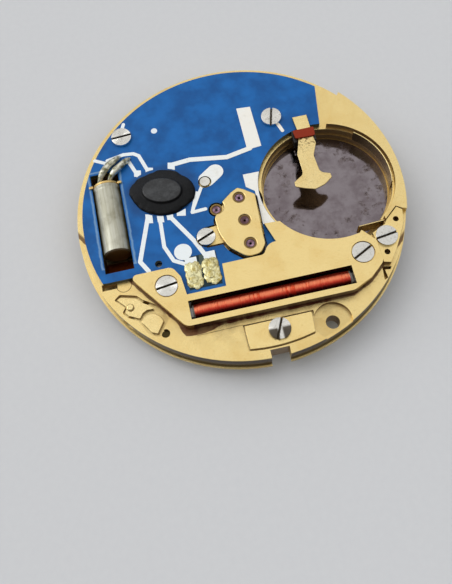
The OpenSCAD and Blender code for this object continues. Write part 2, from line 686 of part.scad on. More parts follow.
board_stud_place = [-2.28, 2.22];
board_stud_hole_d = 1.05;
module circuit_board() {
    color(board_blue) difference() {
        plate(concat(board_lower, [well, [8.6, 9]], arc([0, 0], board_r, 46, 201.5, 60)), board_low, board_top);
        at(well) rod(2 * (well_edge_r + 0.1), board_low - cut, board_top + cut);
        plate(concat(arc([0, 0], casing_d / 2 + 1, -16, 51, 20), [well]), board_low - cut, board_top + cut);
        translate([0, 0, -cut]) bridge_foot(0.14, board_low, board_top + 2 * cut);
        w = can_d + 2 * can_slot_gap;
        translate([-can_x - w / 2, -can_end_y - 1.55, board_low - cut]) cube([w, can_len + 2.8, board_t + 2 * cut]);
        for (p = board_screw_places) screw_hole(p, board_low - cut, board_top + cut);
        for (p = cover_screw_places) at(p) rod(1.5, board_low - cut, board_top + cut);
        at(board_stud_place) rod(board_stud_hole_d, board_low - cut, board_top + cut);
        at([-7.07, -3.88]) rod(0.55, board_low - cut, board_top + cut);
    }
}

// A printed track, straight from point to point with round ends
module track(points, w) {
    for (i = [0 : len(points) - 2]) {
        a = points[i];
        b = points[i + 1];
        at(a, board_top) rotate(bearing(a, b)) translate([0, -w / 2, 0]) cube([norm(b - a), w, track_t]);
    }
    for (p = points) at(p, board_top) cylinder(d = w, h = track_t, $fn = 24);
}

module circuit_tracks() {
    color(silver) difference() {
        union() {
            for (t = tracks) track(t[0], t[1]);
            for (pad = track_pads) plate(pad, board_top, board_top + track_t);
            for (p = coil_pads) at(p, board_top) translate([-0.45, -1.15, 0]) cube([0.9, 2.4, track_t]);
            at([-5.09, -3.35], board_top) cylinder(d = 1.35, h = track_t);
        }
        chip_base(board_top - cut, 1, 0.02);
        bridge_foot(0.16, 0, movement_h);
        at(well) rod(2 * (well_edge_r + 0.12), 0, movement_h);
        at(board_stud_place) rod(board_stud_hole_d, 0, movement_h);
        for (p = board_screw_places) at(p) rod(head_d, 0, board_top + track_t + cut);
    }
}
tracks = [
    [[[-6.5, 4.3], [-7.0, 5.9], [-7.4, 6.2], [-8.2, 6.3], [-9.55, 6.05]], 0.3],
    [[[-7.35, 4.05], [-7.9, 5.6], [-8.1, 5.8]], 0.3],
    [[[-4.6, 4.4], [-3.06, 4.52], [-0.12, 4.03], [1.85, 4.4]], 0.4],
    [[[4.5, 6.3], [4.78, 5.38]], 0.28],
    [[[-8.0, 8.6], [-7.75, 9.2]], 0.28],
    [[[-10.55, 6.3], [-9.75, 5.85]], 0.28],
    [[[-3.1, 1.4], [-3.75, -0.2], [-2.7, -0.15]], 0.28],
    [[[-2.1, 2.4], [-1.3, 2.95]], 1.3],
    [[[-2.6, 1.9], [-3.5, 0.3]], 0.25],
    [[[-7.2, 0.2], [-8.4, -3.4], [-7.9, -4.3]], 0.34],
    [[[-6.3, 0.1], [-6.4, -2.6], [-5.9, -3.9], [-4.9, -4.5]], 0.3],
    [[[-5.6, 0.0], [-4.1, -2.6], [-3.4, -4.2]], 0.34]];

track_pads = [
    [[1.62, 4.3], [2.8, 4.4], [2.75, 8.3], [1.62, 8.4]],
    [[-4.83, 4.68], [-4.28, 4.54], [-4.4, 3.8], [-4.95, 3.95]],
    [[-6.62, 4.66], [-6.06, 4.5], [-6.16, 3.9], [-6.74, 4.05]],
    [[-7.6, 4.62], [-7.05, 4.5], [-7.12, 3.92], [-7.66, 4.05]],
    [[-4.9, 0.36], [-4.2, 0.22], [-4.3, -0.36], [-4.98, -0.22]],
    [[-7.36, 0.5], [-6.84, 0.36], [-6.88, -0.4], [-7.42, -0.28]],
    [[-6.5, 0.2], [-6, 0.1], [-6.02, -0.52], [-6.52, -0.42]],
    [[-5.75, 0.1], [-5.25, 0], [-5.28, -0.5], [-5.76, -0.4]],
    [[0.77, 2.13], [2.3, 2.1], [2.6, -2.5], [1.33, -2.5], [1.32, -0.79], [1.37, 0.48], [0.76, 1]]];

module chip_base(low, h, g = 0) {
    translate([-5.75, 2.15, low]) rotate(-14) linear_extrude(h) scale([1, 0.8]) circle(r = 2.65 + g, $fn = 48);
}

module chip_cap() {
    color(charcoal) {
        chip_base(board_top, 0.12);
        translate([-5.75, 2.15, board_top + 0.12]) rotate(-14) {
            linear_extrude(chip_h - 0.2, scale = 0.78) scale([1, 0.8]) circle(r = 2.6, $fn = 48);
            translate([0, 0, chip_h - 0.2]) linear_extrude(0.08) scale([1, 0.72]) circle(r = 1.6, $fn = 32);
        }
    }
}

module along_can(from, to, d) {
    translate([-can_x, from, can_z]) rotate([-90, 0, 0]) cylinder(d = d, h = to - from);
}

can_base_y = can_len - can_end_y;
module crystal_can() {
    color("#b9ad8c") along_can(-can_end_y, can_base_y, can_d);
}

module crystal_base() {
    color(brass) along_can(can_base_y, can_base_y + 0.35, can_d + 0.12);
}

// The two leads rise from the base to their pads on the board
module crystal_leads() {
    lead_d = 0.22;
    start = can_base_y + 0.35;
    color(silver) for (side = [-1, 1]) {
        x = -can_x + side * 0.3;
        far = [-can_x + (side < 0 ? 0.55 : 1.95), 5.7];
        translate([x, start, can_z + 0.3]) rotate([-90, 0, 0]) cylinder(d = lead_d, h = 0.15, $fn = 24);
        hull() {
            translate([x, start + 0.15, can_z + 0.3]) sphere(d = lead_d, $fn = 16);
            translate([x + side * 0.1, 4.75, board_top + 0.22]) sphere(d = lead_d, $fn = 16);
        }
        hull() {
            translate([x + side * 0.1, 4.75, board_top + 0.22]) sphere(d = lead_d, $fn = 16);
            translate([far.x, far.y, board_top + track_t + lead_d / 2]) sphere(d = lead_d, $fn = 16);
        }
    }
}

module board_screws() {
    color(steel) {
        screw(board_screw_places[0], board_top + track_t, 0.9, 3);
        screw(board_screw_places[1], board_top + track_t, 0.9, 75);
    }
}

module board_stud() {
    color(steel) at(board_stud_place) {
        rod(0.5, web_top, board_top);
        rod(0.8, board_top, board_top + 0.1);
    }
}

coil_pads = [[-4.65, -5.2], [-3.2, -5.0]];
module solder_joints() {
    color(brass) for (p = coil_pads) at(p, board_top + track_t) {
        translate([-0.36, -1, 0]) cube([0.72, 2.1, 0.05]);
        for (k = [0, 1]) translate([0.05 * k, -0.55 + 0.95 * k, 0.05]) cylinder(d1 = 0.62, d2 = 0.3, h = 0.14);
    }
}

module stator() {
    color(dark_steel) difference() {
        plate(rounded(stator_arms), stator_z, stator_z + stator_t);
        at(rotor_axis) rod(magnet_d + 2 * air_gap, stator_z - cut, stator_z + stator_t + cut);
    }
}

module coil_core() {
    color(steel) {
        translate([coil_x - core_end, -coil_y - core_w / 2, coil_z - core_t / 2])
            cube([2 * core_end, core_w, core_t]);
        for (side = [-1, 1]) translate([coil_x + side * (coil_len / 2 + 0.65) - 0.3, -coil_y - core_w / 2, stator_z + stator_t])
            cube([0.6, core_w, coil_z - core_t / 2 - stator_z - stator_t]);
    }
}

module coil_flanges() {
    color("#3a3c40") for (side = [-1, 1])
        translate([coil_x + side * (coil_len / 2 + 0.06), -coil_y, coil_z]) rotate([0, 90, 0]) difference() {
            cylinder(d = coil_d - 0.05, h = 0.12, center = true);
            cube([core_t, core_w, 1], center = true);
        }
}

module coil_winding() {
    color(red_wire) translate([coil_x - coil_len / 2, -coil_y, coil_z]) rotate([0, 90, 0]) difference() {
        cylinder(d = coil_d, h = coil_len);
        translate([-core_t / 2, -core_w / 2, -cut]) cube([core_t, core_w, coil_len + 2 * cut]);
    }
}

window_end = coil_len / 2 + 0.3;
window_side = coil_d / 2 + 0.11;
window = [
    [coil_x - window_end, -coil_y - window_side], [coil_x + window_end, -coil_y - window_side],
    [coil_x + window_end, -coil_y + window_side], [coil_x - window_end, -coil_y + window_side]];
core_end = coil_len / 2 + 0.95;
skirt_inside = [[-8.95, -4.3], [-5.75, -9.12], [6.4, -9.12], [7.75, -8.5], [8.82, -7.65], [8.82, -5.9],
    [8.3, -2], [-8.95, -2]];

module module_cover() {
    color(gold) difference() {
        union() {
            plate(cover_outline, cover_low, movement_h);
            difference() {
                plate(cover_outline, plate_top, cover_low);
                plate(skirt_inside, plate_top - cut, cover_low + cut);
                at(well) rod(2 * (well_edge_r + skirt_t), plate_top - cut, cover_low);
            }
            for (p = cover_screw_places) at(p) rod(1.3, plate_top, cover_low);
        }
        plate(window, plate_top - cut, movement_h + cut);
        translate([coil_x - core_end - fit, -coil_y - core_w / 2 - fit, plate_top - cut])
            cube([2 * (core_end + fit), core_w + 2 * fit, cover_low - plate_top + cut]);
        for (p = cover_screw_places) at(p) {
            rod(head_d + 0.12, movement_h - head_h, movement_h + cut);
            rod(shank_d + 2 * fit, plate_top - cut, movement_h);
        }
    }
}

module cover_screws() {
    color(steel) {
        screw(cover_screw_places[0], movement_h - head_h, 1.3, 7.5);
        screw(cover_screw_places[1], movement_h - head_h, 1.3, 27);
    }
}

// The bridge's foot reaches round the third jewel and under the screw
module bridge_foot(g, low, high) {
    plate(rounded(grown(bridge_outline, g)), low, high);
    plate(rounded(grown(foot_strip, g)), low, high);
    at(bridge_screw_place) rod(bridge_screw_seat_d + 2 * g, low, high);
    at(third_axis) rod(0.95 + 2 * g, low, high);
}

module train_bridge() {
    color(gold) difference() {
        union() {
            bridge_foot(0, plate_top, foot_top);
            plate(rounded(bridge_outline), plate_top, bridge_top);
        }
        at(third_axis) rod(1.25, foot_top, bridge_top + cut);
        at(third_axis) rod(jewel_d, plate_top - cut, foot_top + cut);
        for (p = [seconds_axis, intermediate_axis, rotor_axis]) at(p) {
            rod(jewel_d, plate_top - cut, bridge_top + cut);
            rod(jewel_d + 0.22, bridge_top - 0.08, bridge_top + cut);
        }
        screw_hole(bridge_screw_place, plate_top - cut, foot_top + cut);
    }
}

module bridge_screw() {
    color(steel) screw(bridge_screw_place, foot_top, 1.1, 20, 1.44);
}

module bridge_jewels() {
    color(jewel_red) {
        for (p = [seconds_axis, intermediate_axis, rotor_axis]) jewel(p, plate_top + 0.1, bridge_top - 0.1);
        jewel(third_axis, plate_top, foot_top - 0.04);
    }
}

module clamp_plate() {
    color(gold) difference() {
        plate(clamp_outline, clamp_low, clamp_top);
        screw_hole(clamp_screw_place, clamp_low - cut, clamp_top + cut);
    }
}

module clamp_screw() {
    color(steel) screw(clamp_screw_place, clamp_top, 0.9, 66);
}

// Flat spring whose tongue clicks the setting lever into its positions
module keyless_jumper() {
    color(gold) plate(rounded(jumper_outline), lever_low, plate_top - 0.05);
}

module jumper_screw() {
    color(steel) at(jumper_screw_place) rod(shank_d, web_top, plate_top - 0.3);
}

module setting_lever() {
    color(gold) difference() {
        plate(rounded(lever_outline), lever_low, plate_top - 0.05);
        at(lever_pivot) rod(lever_pivot_d + 2 * fit, 0, movement_h);
    }
}

module lever_post() {
    color(steel) at(lever_pivot) {
        rod(lever_pivot_d, lever_post_low, plate_top);
        rod(lever_pivot_d + 0.12, plate_top - 0.03, plate_top + 0.12);
    }
}

// Its tip rides in the sliding pinion's groove
module yoke() {
    tip = (pinion_groove[0] + pinion_groove[1]) / 2 * stem;
    color(steel) difference() {
        union() {
            at(yoke_pivot) rod(0.9, yoke_low, yoke_low + yoke_t);
            plate([tip + 0.1 * stem, yoke_pivot + 0.35 * stem, yoke_pivot - 0.35 * stem, tip - 0.1 * stem],
                  yoke_low, yoke_low + yoke_t);
        }
        at(yoke_pivot) rod(0.4 + 2 * fit, 0, movement_h);
    }
}

module sliding_pinion() {
    color(steel) difference() {
        union() {
            along_stem(pinion_near, pinion_groove[0], pinion_collar_d);
            along_stem(pinion_groove[0], pinion_groove[1], groove_d);
            along_stem(pinion_groove[1], pinion_far, pinion_collar_d);
        }
        translate([0, 0, stem_z]) rotate([0, 0, stem_angle])
            translate([pinion_near - cut, -0.21, -0.21]) cube([2, 0.42, 0.42]);
        for (i = [0 : 9]) translate([0, 0, stem_z]) rotate([0, 0, stem_angle]) rotate([i * 36, 0, 0])
            translate([pinion_near - cut, 0.33, -0.07]) cube([0.2, 0.4, 0.14]);
    }
}

rotor_bearing = bearing(rotor_axis, intermediate_axis);
intermediate_turn = mesh_turn(rotor_teeth, 0, intermediate_teeth, rotor_bearing);
seconds_turn = mesh_turn(intermediate_leaves, 0, seconds_teeth, bearing(intermediate_axis, seconds_axis));
third_turn = mesh_turn(seconds_leaves, 0, third_teeth, bearing(seconds_axis, third_axis));
centre_turn = mesh_turn(third_leaves, 0, centre_teeth, bearing(third_axis, seconds_axis));
minute_turn = mesh_turn(cannon_teeth, 0, minute_teeth, minute_angle);
hour_turn = mesh_turn(minute_leaves, 0, hour_teeth, minute_angle + 180);
setting_turn = mesh_turn(minute_teeth, minute_turn, setting_teeth, stem_angle);
date_drive_turn = mesh_turn(hour_leaves, 0, date_drive_teeth, date_drive_angle);

module rotor_magnet() {
    color(dark_steel) at(rotor_axis) tube(magnet_d, arbor_d, magnet_z, magnet_z + magnet_h);
}

module rotor_pinion() {
    color(steel) at(rotor_axis)
        pinion(rotor_teeth, rotor_mod, rotor_pinion_z, plate_top - 0.02, web_top + 0.02, plate_top + 0.08);
}

module intermediate_wheel() {
    color(brass) at(intermediate_axis)
        wheel(intermediate_teeth, rotor_mod, intermediate_z, wheel_t, arbor_d, intermediate_turn);
}

module intermediate_pinion() {
    color(steel) at(intermediate_axis) pinion(intermediate_leaves, seconds_mod, intermediate_pinion_z,
        intermediate_z, web_top + 0.02, plate_top + 0.08);
}

module seconds_wheel() {
    color(brass) at(seconds_axis) wheel(seconds_teeth, seconds_mod, seconds_z, wheel_t, arbor_d, seconds_turn);
}

module seconds_pinion() {
    color(steel) at(seconds_axis) {
        plate(gear_points(seconds_leaves, third_mod), seconds_pinion_z, seconds_z);
        rod(arbor_d, seconds_z, plate_top + 0.08);
        rod(pivot_d, plate_top + 0.08, plate_top + 0.2);
        post(seconds_post_d, -seconds_post_h, -minute_post_h, seconds_pinion_z);
    }
}

module third_wheel() {
    color(brass) at(third_axis) wheel(third_teeth, third_mod, third_z, wheel_t, arbor_d, third_turn);
}

module third_pinion() {
    color(steel) at(third_axis) {
        rod(arbor_d, web_low - 0.02, plate_top - 0.02);
        rod(pivot_d, plate_top - 0.02, plate_top + 0.1);
        plate(gear_points(third_leaves, centre_mod), centre_wheel_z, web_low - 0.02);
    }
}

// A pipe widens a little from the hand's seat towards its leaves
pipe_taper = 0.01;
cannon_bore_d = centre_tube_d + 2 * pivot_gap;
friction_d = cannon_pipe_d + 0.04;
module post(d, tip, seat_end, top) {
    rod(d, tip, seat_end);
    translate([0, 0, seat_end]) cylinder(h = top - seat_end, d1 = d, d2 = d + pipe_taper);
}

module centre_wheel() {
    color(brass) at(seconds_axis) wheel(centre_teeth, centre_mod, centre_wheel_z, wheel_t, friction_d, centre_turn);
}

module cannon_pinion() {
    color(steel) at(seconds_axis) difference() {
        union() {
            plate(gear_points(cannon_teeth, minute_mod), cannon_leaf_z, centre_wheel_z);
            rod(friction_d, centre_wheel_z, centre_wheel_z + wheel_t);
            post(cannon_pipe_d, -minute_post_h, -hour_post_h, cannon_leaf_z);
        }
        rod(cannon_bore_d, -minute_post_h - cut, web_low + cut);
    }
}

module minute_wheel() {
    color(brass) at(minute_axis) difference() {
        union() {
            wheel(minute_teeth, minute_mod, minute_wheel_z, wheel_t, post_d + 2 * pivot_gap, minute_turn);
            plate(gear_points(minute_leaves, hour_mod), hour_wheel_z - 0.02, minute_wheel_z);
        }
        rod(post_d + 2 * pivot_gap, 0, web_low);
    }
}

hour_bore_d = cannon_pipe_d + pipe_taper + 2 * pivot_gap;
hour_boss_d = hour_pipe_d + 0.34;
module hour_wheel() {
    color(brass) at(seconds_axis) difference() {
        union() {
            rotate(hour_turn) plate(gear_points(hour_teeth, hour_mod), hour_wheel_z, hour_wheel_z + wheel_t);
            plate(gear_points(hour_leaves, date_drive_mod), hour_pinion_z, hour_wheel_z);
            rod(hour_pipe_d, -hour_post_h, hour_pinion_z);
            rod(hour_boss_d, 0, hour_pinion_z);
        }
        rod(hour_bore_d, -hour_post_h - cut, web_low);
    }
}

module setting_wheel() {
    color(brass) at(setting_axis)
        wheel(setting_teeth, minute_mod, minute_wheel_z, wheel_t, post_d + 2 * pivot_gap, setting_turn, 0);
}

// Drives the ring one tooth a day with its finger
module date_driving_wheel() {
    color(brass) at(date_drive_axis) {
        wheel(date_drive_teeth, date_drive_mod, date_drive_z, date_drive_t, post_d + 2 * pivot_gap, date_drive_turn);
        finger_w = 0.3;
        inner = gear_tip(date_drive_teeth, date_drive_mod) - 0.4;
        rotate(date_drive_angle - 60) translate([inner, -finger_w / 2, date_drive_z])
            cube([date_finger_r - inner, finger_w, date_drive_t]);
    }
}

function ring_tooth_points() =
    let (step = 360 / ring_teeth)
    flat([for (i = [0 : ring_teeth - 1]) [
        ring_root_r * direction((i - 0.34) * step + jumper_angle + step / 2),
        ring_tip_r * direction((i - 0.08) * step + jumper_angle + step / 2),
        ring_tip_r * direction((i + 0.08) * step + jumper_angle + step / 2),
        ring_root_r * direction((i + 0.34) * step + jumper_angle + step / 2)]]);

module date_ring() {
    color("#eceae2") difference() {
        union() {
            rod(2 * ring_r, ring_tooth_z, ring_tooth_z + ring_t, $fn = 180);
            rod(2 * ring_r, ring_low, ring_tooth_z, $fn = 180);
        }
        rod(2 * band_r, -cut, ring_tooth_z, $fn = 180);
        plate(ring_tooth_points(), -cut, ring_recess_z + cut);
    }
}

// Sprung click whose nose sits between two teeth of the ring
module date_jumper() {
    nose = (ring_tip_r + 0.3) * direction(jumper_angle);
    left = (ring_tip_r - 0.25) * direction(jumper_angle + 2.2);
    right = (ring_tip_r - 0.25) * direction(jumper_angle - 2.2);
    color(steel) difference() {
        union() {
            plate([nose, left, jumper_pivot + 0.3 * direction(jumper_angle + 70),
                   jumper_pivot - 0.3 * direction(jumper_angle + 70), right], ring_tooth_z, ring_tooth_z + ring_t);
            at(jumper_pivot) rod(0.9, ring_tooth_z, ring_tooth_z + ring_t);
        }
        at(jumper_pivot) rod(post_d + 2 * pivot_gap, 0, 1);
    }
}

module date_keeper() {
    color(gold) difference() {
        rod(2 * keeper_r, keeper_low, keeper_top, $fn = 180);
        rod(hour_boss_d + 0.3, 0, 1);
        for (p = keeper_screw_places) at(p) rod(shank_d + 2 * fit, 0, 1);
    }
}

module keeper_screws() {
    color(steel) for (p = keeper_screw_places) at(p) {
        rod(shank_d, keeper_low, web_low - 0.15);
    }
}

main_plate();
centre_tube();
wheel_posts();
plate_jewels();
battery_insulator();
negative_contact_clip();
contact_insulator();
negative_contact();
positive_contact();
positive_strip();
positive_spring();
contact_screw();
circuit_board();
circuit_tracks();
chip_cap();
crystal_can();
crystal_base();
crystal_leads();
board_screws();
board_stud();
solder_joints();
stator();
coil_core();
coil_winding();
coil_flanges();
module_cover();
cover_screws();
train_bridge();
bridge_screw();
bridge_jewels();
clamp_plate();
clamp_screw();
keyless_jumper();
jumper_screw();
setting_lever();
lever_post();
yoke();
sliding_pinion();
setting_wheel();
rotor_magnet();
rotor_pinion();
intermediate_wheel();
intermediate_pinion();
seconds_wheel();
seconds_pinion();
third_wheel();
third_pinion();
centre_wheel();
cannon_pinion();
minute_wheel();
hour_wheel();
date_driving_wheel();
date_ring();
date_jumper();
date_keeper();
keeper_screws();
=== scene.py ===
# %% [markdown]
# # A quartz watch movement, dressed for its portrait
# The movement lies on pale paper with its back towards us: a gilt plate, a blue circuit
# board, a crystal in its can, a train bridge with jewels, a red coil and an empty cell
# well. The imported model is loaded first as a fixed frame, because every piece that is
# added later has to sit on it. Sizes below are in millimetres, as a watchmaker writes
# them, and one factor turns them into the scene's metres.

# %% Load the frame
import json
import math
import random

import bmesh
import bpy
from mathutils import Matrix, Vector, noise

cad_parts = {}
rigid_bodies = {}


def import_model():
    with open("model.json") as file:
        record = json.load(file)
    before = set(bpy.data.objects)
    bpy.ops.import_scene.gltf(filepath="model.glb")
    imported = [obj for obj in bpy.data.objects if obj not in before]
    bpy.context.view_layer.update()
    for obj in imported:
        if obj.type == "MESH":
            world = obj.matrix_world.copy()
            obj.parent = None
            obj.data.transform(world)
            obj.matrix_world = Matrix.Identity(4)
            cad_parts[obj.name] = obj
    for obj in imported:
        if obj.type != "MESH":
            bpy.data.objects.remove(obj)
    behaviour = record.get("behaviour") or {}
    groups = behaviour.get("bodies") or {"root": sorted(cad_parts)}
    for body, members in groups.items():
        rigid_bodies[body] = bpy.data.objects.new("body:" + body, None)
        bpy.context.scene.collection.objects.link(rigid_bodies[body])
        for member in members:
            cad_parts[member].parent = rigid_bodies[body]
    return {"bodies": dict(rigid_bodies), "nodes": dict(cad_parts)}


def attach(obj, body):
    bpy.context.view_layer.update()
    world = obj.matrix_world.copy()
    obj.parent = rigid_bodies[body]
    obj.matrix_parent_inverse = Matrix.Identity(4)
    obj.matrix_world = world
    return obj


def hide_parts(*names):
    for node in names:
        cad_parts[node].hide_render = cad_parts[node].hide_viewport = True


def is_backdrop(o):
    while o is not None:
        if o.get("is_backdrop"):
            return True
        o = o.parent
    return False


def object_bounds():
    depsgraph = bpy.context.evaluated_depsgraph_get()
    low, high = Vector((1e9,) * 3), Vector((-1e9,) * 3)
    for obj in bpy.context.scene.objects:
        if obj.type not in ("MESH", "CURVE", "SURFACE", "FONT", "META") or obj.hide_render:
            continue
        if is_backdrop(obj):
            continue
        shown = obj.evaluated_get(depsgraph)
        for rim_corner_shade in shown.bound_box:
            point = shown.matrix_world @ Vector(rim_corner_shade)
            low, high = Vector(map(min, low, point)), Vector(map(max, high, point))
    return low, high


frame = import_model()
cad_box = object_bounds()
nodes = frame["nodes"]
MM = 0.001
scene = bpy.context.scene
print("nodes:", len(nodes), "bodies:", len(frame["bodies"]))

# %% [markdown]
# ## The camera
# The photograph was taken from the front, about 20 degrees off the vertical, with a
# slight roll. A camera is easiest to place by the point that it looks at: we step back
# from that point along the line of sight, then roll about this line. The focal length
# follows from how quickly the far rim shrinks compared with the near one.

# %% Camera
LOOK_AT = Vector((-2.55, -6.479, 0))
AZIMUTH, ELEVATION, ROLL = (math.radians(a) for a in (-3.862, 68.225, -8.854))
DISTANCE = 50.572
FOCAL_PIXELS = 659.061
PICTURE_HEIGHT = 584
SENSOR = 36

back = Vector((math.sin(AZIMUTH) * math.cos(ELEVATION),
               -math.cos(AZIMUTH) * math.cos(ELEVATION),
               math.sin(ELEVATION)))
level_right = Vector((math.cos(AZIMUTH), math.sin(AZIMUTH), 0))
level_up = back.cross(level_right)
right = level_right * math.cos(ROLL) + level_up * math.sin(ROLL)
up = level_up * math.cos(ROLL) - level_right * math.sin(ROLL)

camera_data = bpy.data.cameras.new("camera")
camera_data.sensor_width = SENSOR
camera_data.lens = FOCAL_PIXELS * SENSOR / PICTURE_HEIGHT
camera_data.clip_start = MM
camera = bpy.data.objects.new("camera", camera_data)
scene.collection.objects.link(camera)
aimed = Matrix((right, up, back)).transposed().to_4x4()
camera.matrix_world = Matrix.Translation((LOOK_AT + back * DISTANCE) * MM) @ aimed
scene.camera = camera
print("lens:", round(camera_data.lens, 2), "mm")

# %% [markdown]
# ## A small language for materials
# Each finish is a node tree. Wiring one by hand hides the idea behind it, so a socket is
# wrapped in a class that knows sums: `0.3 + noise * 0.1` then adds its own Math nodes.
# All other nodes come from one method that takes the type, the settings and the inputs.

# %% Sockets that do sums
class Socket:
    """A node's output that can be used in a formula."""

    def __init__(self, recipe, socket):
        self.recipe = recipe
        self.socket = socket

    def work_out(self, operation, *values):
        return self.recipe.node("ShaderNodeMath", {"operation": operation}, values)[0]

    def __add__(self, other):
        return self.work_out("ADD", self, other)

    def __radd__(self, other):
        return self.work_out("ADD", other, self)

    def __sub__(self, other):
        return self.work_out("SUBTRACT", self, other)

    def __rsub__(self, other):
        return self.work_out("SUBTRACT", other, self)

    def __mul__(self, other):
        return self.work_out("MULTIPLY", self, other)

    def __rmul__(self, other):
        return self.work_out("MULTIPLY", other, self)

    def higher(self, other):
        return self.work_out("MAXIMUM", self, other)

    def lower(self, other):
        return self.work_out("MINIMUM", self, other)

    def size(self):
        return self.work_out("ABSOLUTE", self)

    def root(self):
        return self.work_out("SQRT", self)

    def wave(self):
        return self.work_out("SINE", self)

    def clamp(self):
        return self.recipe.node("ShaderNodeClamp", {}, [self, 0.0, 1.0])[0]

    def step(self, low, high):
        """Goes smoothly from 0 to 1 between two values."""
        settings = {"interpolation_type": "SMOOTHSTEP"}
        return self.recipe.node("ShaderNodeMapRange", settings, [self, low, high, 0.0, 1.0])[0]


class Outputs:
    """A node's outputs, by name or by number."""

    def __init__(self, recipe, node):
        self.recipe = recipe
        self.made = node

    def __getitem__(self, key):
        outputs = self.made.outputs
        found = outputs[key] if isinstance(key, int) else Recipe.find(outputs, key)
        return Socket(self.recipe, found)


# %% [markdown]
# ## Recipes and finishes
# A recipe is any node tree that we fill with formulas: the room's light uses one as it
# is, and a finish adds a material, the place on the piece in millimetres, and the
# patterns and distances that all finishes share.

# %% Recipes and finishes
class Recipe:
    """A node tree that is written as formulas."""

    def __init__(self, tree):
        self.tree = tree

    def node(self, kind, settings, inputs):
        made = self.tree.nodes.new(kind)
        for key, value in settings.items():
            setattr(made, key, value)
        named = inputs.items() if isinstance(inputs, dict) else enumerate(inputs)
        for key, value in named:
            target = made.inputs[key] if isinstance(key, int) else self.find(made.inputs, key)
            if isinstance(value, Socket):
                self.tree.links.new(value.socket, target)
            else:
                target.default_value = value
        return Outputs(self, made)

    @staticmethod
    def find(sockets, key):
        return next(s for s in sockets if s.name == key and s.enabled)

    def split(self, vector):
        found = self.node("ShaderNodeSeparateXYZ", {}, {"Vector": vector})
        return found["X"], found["Y"], found["Z"]

    def mix(self, mask, first, second):
        inputs = {"Factor": mask, "A": first, "B": second}
        return self.node("ShaderNodeMix", {"data_type": "RGBA"}, inputs)["Result"]


class Finish(Recipe):
    """A material whose patterns are measured in millimetres."""

    def __init__(self, name, constants):
        self.material = bpy.data.materials.new(name)
        self.material.use_nodes = True
        super().__init__(self.material.node_tree)
        self.shader = self.tree.nodes["Principled BSDF"]
        for key, value in constants.items():
            self.shader.inputs[key].default_value = value
        object_place = self.node("ShaderNodeTexCoord", {}, {})["Object"]
        scaled = {"Vector": object_place, "Scale": 1 / MM}
        self.place = self.node("ShaderNodeVectorMath", {"operation": "SCALE"}, scaled)["Vector"]

    def parts(self):
        """X, Y and Z of the place on the piece, in millimetres."""
        return self.split(self.place)

    def facing(self):
        """X, Y and Z of the direction that the surface faces."""
        return self.split(self.node("ShaderNodeNewGeometry", {}, {})["Normal"])

    def far_from(self, centres):
        """How far the place is from the nearest centre, seen from above."""
        x, y, _ = self.parts()
        nearest = None
        for centre_x, centre_y in centres:
            squared = (x - centre_x) * (x - centre_x) + (y - centre_y) * (y - centre_y)
            nearest = squared if nearest is None else nearest.lower(squared)
        return nearest.root()

    def beyond(self, middle, half_x, half_y):
        """How far the place lies outside a rectangle, seen from above."""
        x, y, _ = self.parts()
        return ((x - middle[0]).size() - half_x).higher((y - middle[1]).size() - half_y)

    def noise(self, scale, detail=3.0, roughness=0.55, stretch=(1, 1, 1)):
        place = self.place
        if stretch != (1, 1, 1):
            place = self.node("ShaderNodeMapping", {}, {"Vector": place, "Scale": stretch})["Vector"]
        inputs = {"Vector": place, "Scale": scale, "Detail": detail, "Roughness": roughness}
        return self.node("ShaderNodeTexNoise", {}, inputs)["Fac"]

    def feed(self, key, value):
        self.tree.links.new(value.socket, self.shader.inputs[key])

    def bump(self, height, depth, strength=1.0):
        """Relief whose full height is the depth given, in millimetres."""
        inputs = {"Height": height, "Distance": depth * MM, "Strength": strength}
        self.feed("Normal", self.node("ShaderNodeBump", {}, inputs)["Normal"])


def colour(red, green, blue):
    """A colour as a paint chart gives it, from 0 to 255, in a shader's linear values."""
    linear = []
    for level in (red / 255, green / 255, blue / 255):
        linear.append(level / 12.92 if level <= 0.04045 else ((level + 0.055) / 1.055) ** 2.4)
    return (*linear, 1.0)


def darker(tint, red, green, blue):
    """The same colour with less of each part."""
    return (tint[0] * red, tint[1] * green, tint[2] * blue, 1.0)


# %% [markdown]
# ## Gilding
# The plates are brass, gilded and left satin: the grain is finer than a hair, and the
# gold is a little warmer where it is worn. A metal's colour comes from what it mirrors,
# so roughness matters more here than colour does. Dirt and painted shade are laid over
# the gold afterwards, through a mask, because each part gathers them in other places.

# %% Gold and the dirt on it
def gilding(name, tint, satin=0.3, grain=1.0):
    gilt = Finish(name, {"Metallic": 1.0})
    broad = gilt.noise(0.45, 3.0)
    fine = gilt.noise(22.0, 5.0, 0.75)
    speck = gilt.noise(7.0, 2.0).step(0.62, 0.7)
    scratch = gilt.noise(3.0, 5.0, 0.75, (1, 9, 1)).step(0.6, 0.7)
    warm = darker(tint, 0.8, 0.64, 0.38)
    worn = broad.step(0.4, 0.75) * 0.3 + fine.step(0.42, 0.68) * 0.6 + speck * 0.3 + scratch * 0.2
    gilt.feed("Base Color", gilt.mix(worn.clamp(), tint, warm))
    gilt.feed("Roughness", (satin + (fine - 0.5) * 0.24 + (broad - 0.5) * 0.14).clamp())
    gilt.bump(fine + scratch * 0.4, 0.012 * grain, 0.8)
    return gilt


def tarnish(gilt, mask, first, second):
    """Lays real dirt and painted shade, in two tones, over a finish where the mask says so."""
    gold_now = Socket(gilt, gilt.shader.inputs["Base Color"].links[0].from_socket)
    brown = gilt.mix(gilt.noise(2.4, 4.0, 0.6), first, second)
    gilt.feed("Base Color", gilt.mix(mask.clamp(), gold_now, brown))
